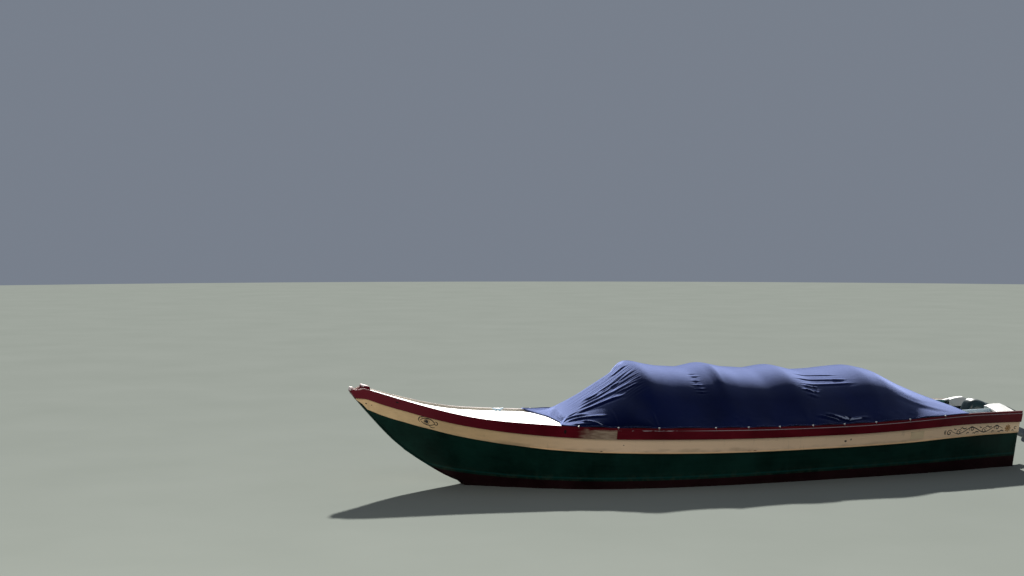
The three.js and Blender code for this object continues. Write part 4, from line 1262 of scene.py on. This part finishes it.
# %% A tube along a path
def add_tube(shape, path, radii, sides):
    """Adds a tube to the shape. Its radius is one number, or one for each point of the path."""
    path = [Vector(place) for place in path]
    radii = np.broadcast_to(radii, len(path))
    ahead = (path[1] - path[0]).normalized()
    start = Matrix.Translation(path[0]) @ ahead.to_track_quat("Z", "Y").to_matrix().to_4x4()
    made = bmesh.ops.create_circle(shape, segments=sides, radius=float(radii[0]), matrix=start)
    ring = made["verts"]
    edges = list({edge for vertex in ring for edge in vertex.link_edges})
    first = edges
    for i in range(1, len(path)):
        geometry = bmesh.ops.extrude_edge_only(shape, edges=edges)["geom"]
        ring = [part for part in geometry if isinstance(part, bmesh.types.BMVert)]
        edges = [part for part in geometry if isinstance(part, bmesh.types.BMEdge)]
        before = ahead
        ahead = (path[min(i + 1, len(path) - 1)] - path[i - 1]).normalized()
        turn = before.rotation_difference(ahead).to_matrix()
        bmesh.ops.rotate(shape, verts=ring, cent=path[i - 1], matrix=turn)
        bmesh.ops.translate(shape, verts=ring, vec=path[i] - path[i - 1])
        wider = Matrix.Diagonal((float(radii[i] / radii[i - 1]),) * 3)
        bmesh.ops.transform(shape, verts=ring, matrix=wider, space=Matrix.Translation(-path[i]))
    bmesh.ops.contextual_create(shape, geom=first)
    bmesh.ops.contextual_create(shape, geom=edges)


def tube_piece(name, tubes, finish, sides):
    """One piece of several tubes, each given by its path and its radii."""
    shape = bmesh.new()
    for path, radii in tubes:
        add_tube(shape, path, radii, sides)
    bmesh.ops.recalc_face_normals(shape, faces=shape.faces)
    return object_from(shape, name, [PAINT[finish]], "root")


print("tube tool ready")

# %% [markdown]
# The cover's edge is doubled over a line, which makes a round hem. Steel hooks on the rail's
# ledge hold it by white plastic toggles.

# %% Hem and hooks
HEM_RADIUS = 0.006
FRONT_HEM_RADIUS = 0.009
HEM_STEP = 3
HEM_SIDES, HOOK_SIDES = 8, 6
HOOK_RADIUS = 0.0020
HOOK_OUTLINE = (
    # along, out from the rail's face, up from its top
    (0, -0.004, -0.014),
    (0, 0.005, -0.016),
    (0, 0.0085, -0.011),
    (0, 0.0085, -0.003),
    (0, 0.006, 0.003),
)
TOGGLE_OUTLINE = [(along, 0.0025, 0.005) for along in (-0.009, -0.006, 0, 0.006, 0.009)]
TOGGLE_RADII = (0.003, 0.006, 0.0045, 0.006, 0.003)
HOOK_ROWS = [(at, 1) for at in HOOKS_PORT] + [(at, -1) for at in HOOKS_STARBOARD]

EDGES = (COVER[::-HEM_STEP, 0], COVER[0, ::HEM_STEP], COVER[::HEM_STEP, -1])
edge_radii = np.repeat((HEM_RADIUS, FRONT_HEM_RADIUS, HEM_RADIUS), [len(edge) for edge in EDGES])
hem = tube_piece("cover-hem", [(np.concatenate(EDGES), edge_radii)], "cover", HEM_SIDES)


def at_each_hook(name, outline, radii, finish):
    """The same small tube beside the rail at every hook."""
    tubes = []
    for at, side in HOOK_ROWS:
        x = BOW_X - at
        half, top, _, _ = fair_row(x)
        path = [(x + along, side * (half + out), top + up) for along, out, up in outline]
        tubes.append((path, radii))
    return tube_piece(name, tubes, finish, HOOK_SIDES)


hooks = at_each_hook("cover-hooks", HOOK_OUTLINE, HOOK_RADIUS, "steel")
toggles = at_each_hook("cover-toggles", TOGGLE_OUTLINE, TOGGLE_RADII, "white_plastic")
print("hooks:", len(HOOK_ROWS))

# %% [markdown]
# A pale blue horn cleat stands on the foredeck near its far edge, for the mooring line. A cleat
# has two horns on two feet, so it is three tubes in one piece.

# %% Cleat
CLEAT_AFT = 1.66
CLEAT_IN = 0.085
CLEAT_FEET = (-0.022, 0.022)
CLEAT_SIDES = 10
CLEAT_HORNS = (
    # along, up, radius
    (-0.058, 0.031, 0.005),
    (-0.036, 0.023, 0.008),
    (-0.012, 0.020, 0.009),
    (0.012, 0.020, 0.009),
    (0.036, 0.023, 0.008),
    (0.058, 0.031, 0.005),
)
CLEAT_FOOT = (
    # share of the foot's own place, up, radius
    (1, -0.004, 0.011),
    (1, 0.008, 0.007),
    (0.8, 0.020, 0.007),
)
cleat_x = BOW_X - CLEAT_AFT
cleat_y = CLEAT_IN - fair_row(cleat_x)[0]
cleat_top = deck_under((cleat_x, cleat_y))


def cleat_tube(rows):
    path = [(cleat_x + along, cleat_y, cleat_top + up) for along, up, _ in rows]
    return path, [radius for _, _, radius in rows]


feet = [[(place * share, up, radius) for share, up, radius in CLEAT_FOOT] for place in CLEAT_FEET]
cleat_tubes = [cleat_tube(rows) for rows in (CLEAT_HORNS, *feet)]
cleat = tube_piece("deck-cleat", cleat_tubes, "blue", CLEAT_SIDES)
print("cleat at", CLEAT_AFT, "m aft")

# %% [markdown]
# Painted ornament is drawn flat, in metres aft and metres below the rail's top, and then laid on
# the strake's own surface, which is found by a ray from outboard.

# %% Laying things on the strake
FROM_OUTBOARD = 2
STRAKE_SKIN = {side: surface_of(f"sheer-strake-{word}-faired") for word, side in SIDES}
drops = []
for x, points in rings_of("sheer_strake_port"):
    top = straight_row(x)[1]
    heights = [point.z for point in points]
    drops.append((x, top - max(heights), top - min(heights)))
STRAKE_DROPS = np.array(sorted(drops))


def on_strake(aft, below, out, side):
    """A place on the strake's surface, or a little outboard of it."""
    x = BOW_X - aft
    z = rail_top(x) - below
    skin = STRAKE_SKIN[side]
    place = skin.ray_cast(Vector((x, side * FROM_OUTBOARD, z)), Vector((0, -side, 0)))[0]
    if place is None:
        place = skin.find_nearest(Vector((x, side, z)))[0]
    return place + Vector((0, side * out, 0))


BEAD_FROM, BEAD_TO = 1.64, 6.97
BEAD_RADIUS = 0.006
BEAD_UP = 0.005
BEAD_OUT = 0.001
BEAD_SIDES = 8
bead_places = np.linspace(BEAD_FROM, BEAD_TO, 90)
bead_below = read_at(BOW_X - bead_places, STRAKE_DROPS)[1] - BEAD_UP
bead_tubes = []
for _, side in SIDES:
    path = [on_strake(at, below, BEAD_OUT, side) for at, below in zip(bead_places, bead_below)]
    bead_tubes.append((path, BEAD_RADIUS))
bead = tube_piece("strake-bead", bead_tubes, "strake", BEAD_SIDES)
print("bead runs from", BEAD_FROM, "to", BEAD_TO, "m aft")


# %% [markdown]
# Two old kinds of boat ornament: an eye near the bow, and a band of scrollwork by the stern. A
# stroke swells in its middle as a brush stroke does. Scrolls are spirals on a waving stem.

# %% Brush strokes
BRUSH_THICK = 0.12
BRUSH_PROUD = 0.0009
BRUSH_SIDES = 6
STROKE_POINTS = 14


def arc(at, below, radius, start, end, squash=1.0, turns_in=0.0):
    """Points round a centre from one angle to another, in degrees, winding in by a share."""
    angles = np.radians(np.linspace(start, end, STROKE_POINTS))
    reach = radius * np.linspace(1, 1 - turns_in, STROKE_POINTS)
    return np.stack([at + reach * np.cos(angles), below - squash * reach * np.sin(angles)], axis=1)


def arcs(at, below, rows):
    """Strokes about a middle, from rows as in the tables below."""
    return [(arc(at + aft, below + down, *bow), wide) for aft, down, *bow, wide in rows]


def ornament(name, strokes, finish):
    """Strokes: points in metres aft and below, and the half width of the brush."""
    for word, side in SIDES:
        shape = bmesh.new()
        for points, wide in strokes:
            swell = 0.45 + 0.55 * np.sin(np.linspace(0, math.pi, len(points)))
            add_tube(shape, [(a, 0, b) for a, b in points], wide * swell, BRUSH_SIDES)
        for vertex in shape.verts:
            at, out, below = vertex.co
            vertex.co = on_strake(at, below, out * BRUSH_THICK + BRUSH_PROUD, side)
        bmesh.ops.recalc_face_normals(shape, faces=shape.faces)
        piece = object_from(shape, f"{name}-{word}", [PAINT[finish]], "root")
    return len(strokes)


EYE_AT, EYE_BELOW = 0.698, 0.146
EYE = (
    # aft, below, radius, start, end, squash, turns in, half width
    (0, 0, 0.0080, 0, 400, 1.0, 0.0, 0.0100),
    (0, 0, 0.0230, 0, 380, 1.0, 0.0, 0.0030),
    (0.006, 0.020, 0.068, 162, 18, 0.76, 0.0, 0.0052),
    (0.010, -0.012, 0.068, 202, 342, 0.64, 0.0, 0.0044),
    (-0.052, -0.004, 0.022, 60, 250, 1.2, 0.0, 0.0044),
    (0.004, 0.004, 0.084, 152, 84, 0.60, 0.0, 0.0038),
    (0.082, 0.002, 0.019, 150, -160, 1.1, 0.5, 0.0040),
    (0.054, 0.030, 0.026, 190, 330, 0.7, 0.0, 0.0034),
)
eye = arcs(EYE_AT, EYE_BELOW, EYE)
print("eye:", ornament("bow-eye", eye, "black"), "strokes")


# %% Scrollwork
SCROLL_FROM, SCROLL_TO = 6.12, 6.78
SCROLL_WAVES = 4
SCROLL_MIDDLE = 0.182
SCROLL_SWING = 0.028
SCROLL_STEM = 0.0050
SCROLL_LEAVES = (
    # aft as a share of a wave, then as in the eye; below and the angles change side each wave
    (0.42, 0.036, 0.026, 20, 170, 0.6, 0.0, 0.0060),
    (-0.28, 0.032, 0.017, 200, 20, 0.9, 0.4, 0.0046),
    (0.16, 0.040, 0.014, 160, -20, 0.8, 0.0, 0.0044),
)
SCROLL_FORE_END = (
    (-0.040, 0.008, 0.036, 0, 500, 0.9, 0.86, 0.0054),
    (-0.038, 0, 0.052, 150, 210, 0.9, 0.0, 0.0040),
    (-0.050, 0, 0.052, 150, 210, 0.9, 0.0, 0.0040),
)
SCROLL_AFT_END = (
    (0.165, 0, 0.020, 30, 330, 0.9, 0.6, 0.0042),
    (0.135, 0.028, 0.013, 200, -60, 0.9, 0.6, 0.0036),
)


def scrollwork():
    """A waving stem with a spiral and three leaves in each wave, and small scrolls at its ends."""
    long = SCROLL_TO - SCROLL_FROM
    aft = np.linspace(SCROLL_FROM, SCROLL_TO, 70)
    phase = (aft - SCROLL_FROM) / long * SCROLL_WAVES * math.pi
    stem = np.stack([aft, SCROLL_MIDDLE + SCROLL_SWING * np.sin(phase)], axis=1)
    strokes = [(stem, SCROLL_STEM)]
    apart = long / SCROLL_WAVES
    for i in range(SCROLL_WAVES):
        up = 1 if i % 2 else -1
        first = 90 * up + 120
        rows = [(0, -0.012 * up, 0.036, first, first - 470 * up, 0.9, 0.86, 0.0052)]
        for share, down, radius, start, end, *rest in SCROLL_LEAVES:
            rows.append((share * apart, down * up, radius, start * up, end * up, *rest))
        strokes += arcs(SCROLL_FROM + apart * (i + 0.5), SCROLL_MIDDLE, rows)
    strokes += arcs(SCROLL_FROM, SCROLL_MIDDLE, SCROLL_FORE_END)
    strokes += arcs(SCROLL_TO, SCROLL_MIDDLE, SCROLL_AFT_END)
    return strokes


ROSETTE_AT = 6.845
PETALS = 8
PETAL_FROM, PETAL_TO, PETAL_WIDE = 0.013, 0.040, 0.0085
petal_reach = np.linspace(PETAL_FROM, PETAL_TO, 8)[:, None]
rosette = [(arc(ROSETTE_AT, SCROLL_MIDDLE, 0.006, 0, 400), 0.010)]
for i in range(PETALS):
    angle = 2 * math.pi * i / PETALS
    turn = np.array((math.cos(angle), math.sin(angle)))
    rosette.append((np.array((ROSETTE_AT, SCROLL_MIDDLE)) + petal_reach * turn, PETAL_WIDE))
print("scrolls:", ornament("stern-scrolls", scrollwork(), "black"), "strokes")
print("rosette:", ornament("stern-rosette", rosette, "ochre"), "strokes")

# %% [markdown]
# ## Stage, light and camera
# The boat floats, so the plain floor lies at its waterline. One strong light stands
# behind the boat, and a wide warm light, the pale floor and the sky fill the shade.

# %% Floor
FLOOR_RADIUS = 60
FLOOR_TONES = ((0.19, 0.21, 0.19), (0.22, 0.24, 0.22))


def floor_paint():
    shader = Shader("studio_floor")
    base = shader.mix(shader.noise(0.6, 3), *FLOOR_TONES)
    return shader.finish(base, 1.0, specular_ior_level=0.0)


shape = bmesh.new()
bmesh.ops.create_circle(shape, cap_ends=True, segments=96, radius=FLOOR_RADIUS)
bmesh.ops.translate(shape, verts=shape.verts, vec=(0, 0, WATERLINE))
floor = mesh_object(shape, "studio-floor", [floor_paint()])
print("floor at", WATERLINE)


# %% Camera
CAMERA_PLACE = (6.212, 15.145, 2.67)
CAMERA_AIM = (-0.27564, -0.96126)
CAMERA_DOWN = math.radians(2.11)
CAMERA_LENS = 56.25
SENSOR_WIDE = 36


def look_at(place, direction):
    return Matrix.Translation(place) @ Vector(direction).to_track_quat("-Z", "Y").to_matrix().to_4x4()


lens = bpy.data.cameras.new("photo-view")
lens.lens = CAMERA_LENS
lens.sensor_width = SENSOR_WIDE
camera = add_object("photo-view", lens)
level = math.cos(CAMERA_DOWN)
view_line = (CAMERA_AIM[0] * level, CAMERA_AIM[1] * level, -math.sin(CAMERA_DOWN))
camera.matrix_world = look_at(CAMERA_PLACE, view_line)
bpy.context.scene.camera = camera
print("camera looks along", [round(v, 3) for v in view_line])

# %% Light
KEY_FROM = (-0.30, -1.0, 0.67)
KEY_PLACE = (0, 0, 8)
KEY_STRENGTH = 8.6
KEY_TONE = (1.0, 0.97, 0.92)
KEY_ANGLE = math.radians(2)
FILL_PLACE = (7, 9, 6)
FILL_POWER = 330
FILL_TONE = (1.0, 0.93, 0.84)
FILL_SIZE = 6
SKY = (0.72, 0.82, 1.0)
SKY_STRENGTH = 0.26


def add_light(name, kind, energy, tone, place, light_from):
    light = bpy.data.lights.new(name, kind)
    light.energy = energy
    light.color = tone
    add_object(name, light).matrix_world = look_at(place, [-value for value in light_from])
    return light


key = add_light("key", "SUN", KEY_STRENGTH, KEY_TONE, KEY_PLACE, KEY_FROM)
key.angle = KEY_ANGLE
fill = add_light("fill", "AREA", FILL_POWER, FILL_TONE, FILL_PLACE, FILL_PLACE)
fill.size = FILL_SIZE

world = bpy.data.worlds.new("studio-sky")
world.use_nodes = True
background = world.node_tree.nodes["Background"]
background.inputs["Color"].default_value = (*SKY, 1)
background.inputs["Strength"].default_value = SKY_STRENGTH
bpy.context.scene.world = world
bpy.context.scene.view_settings.view_transform = "Standard"
print("lights: one key, one fill, one sky")
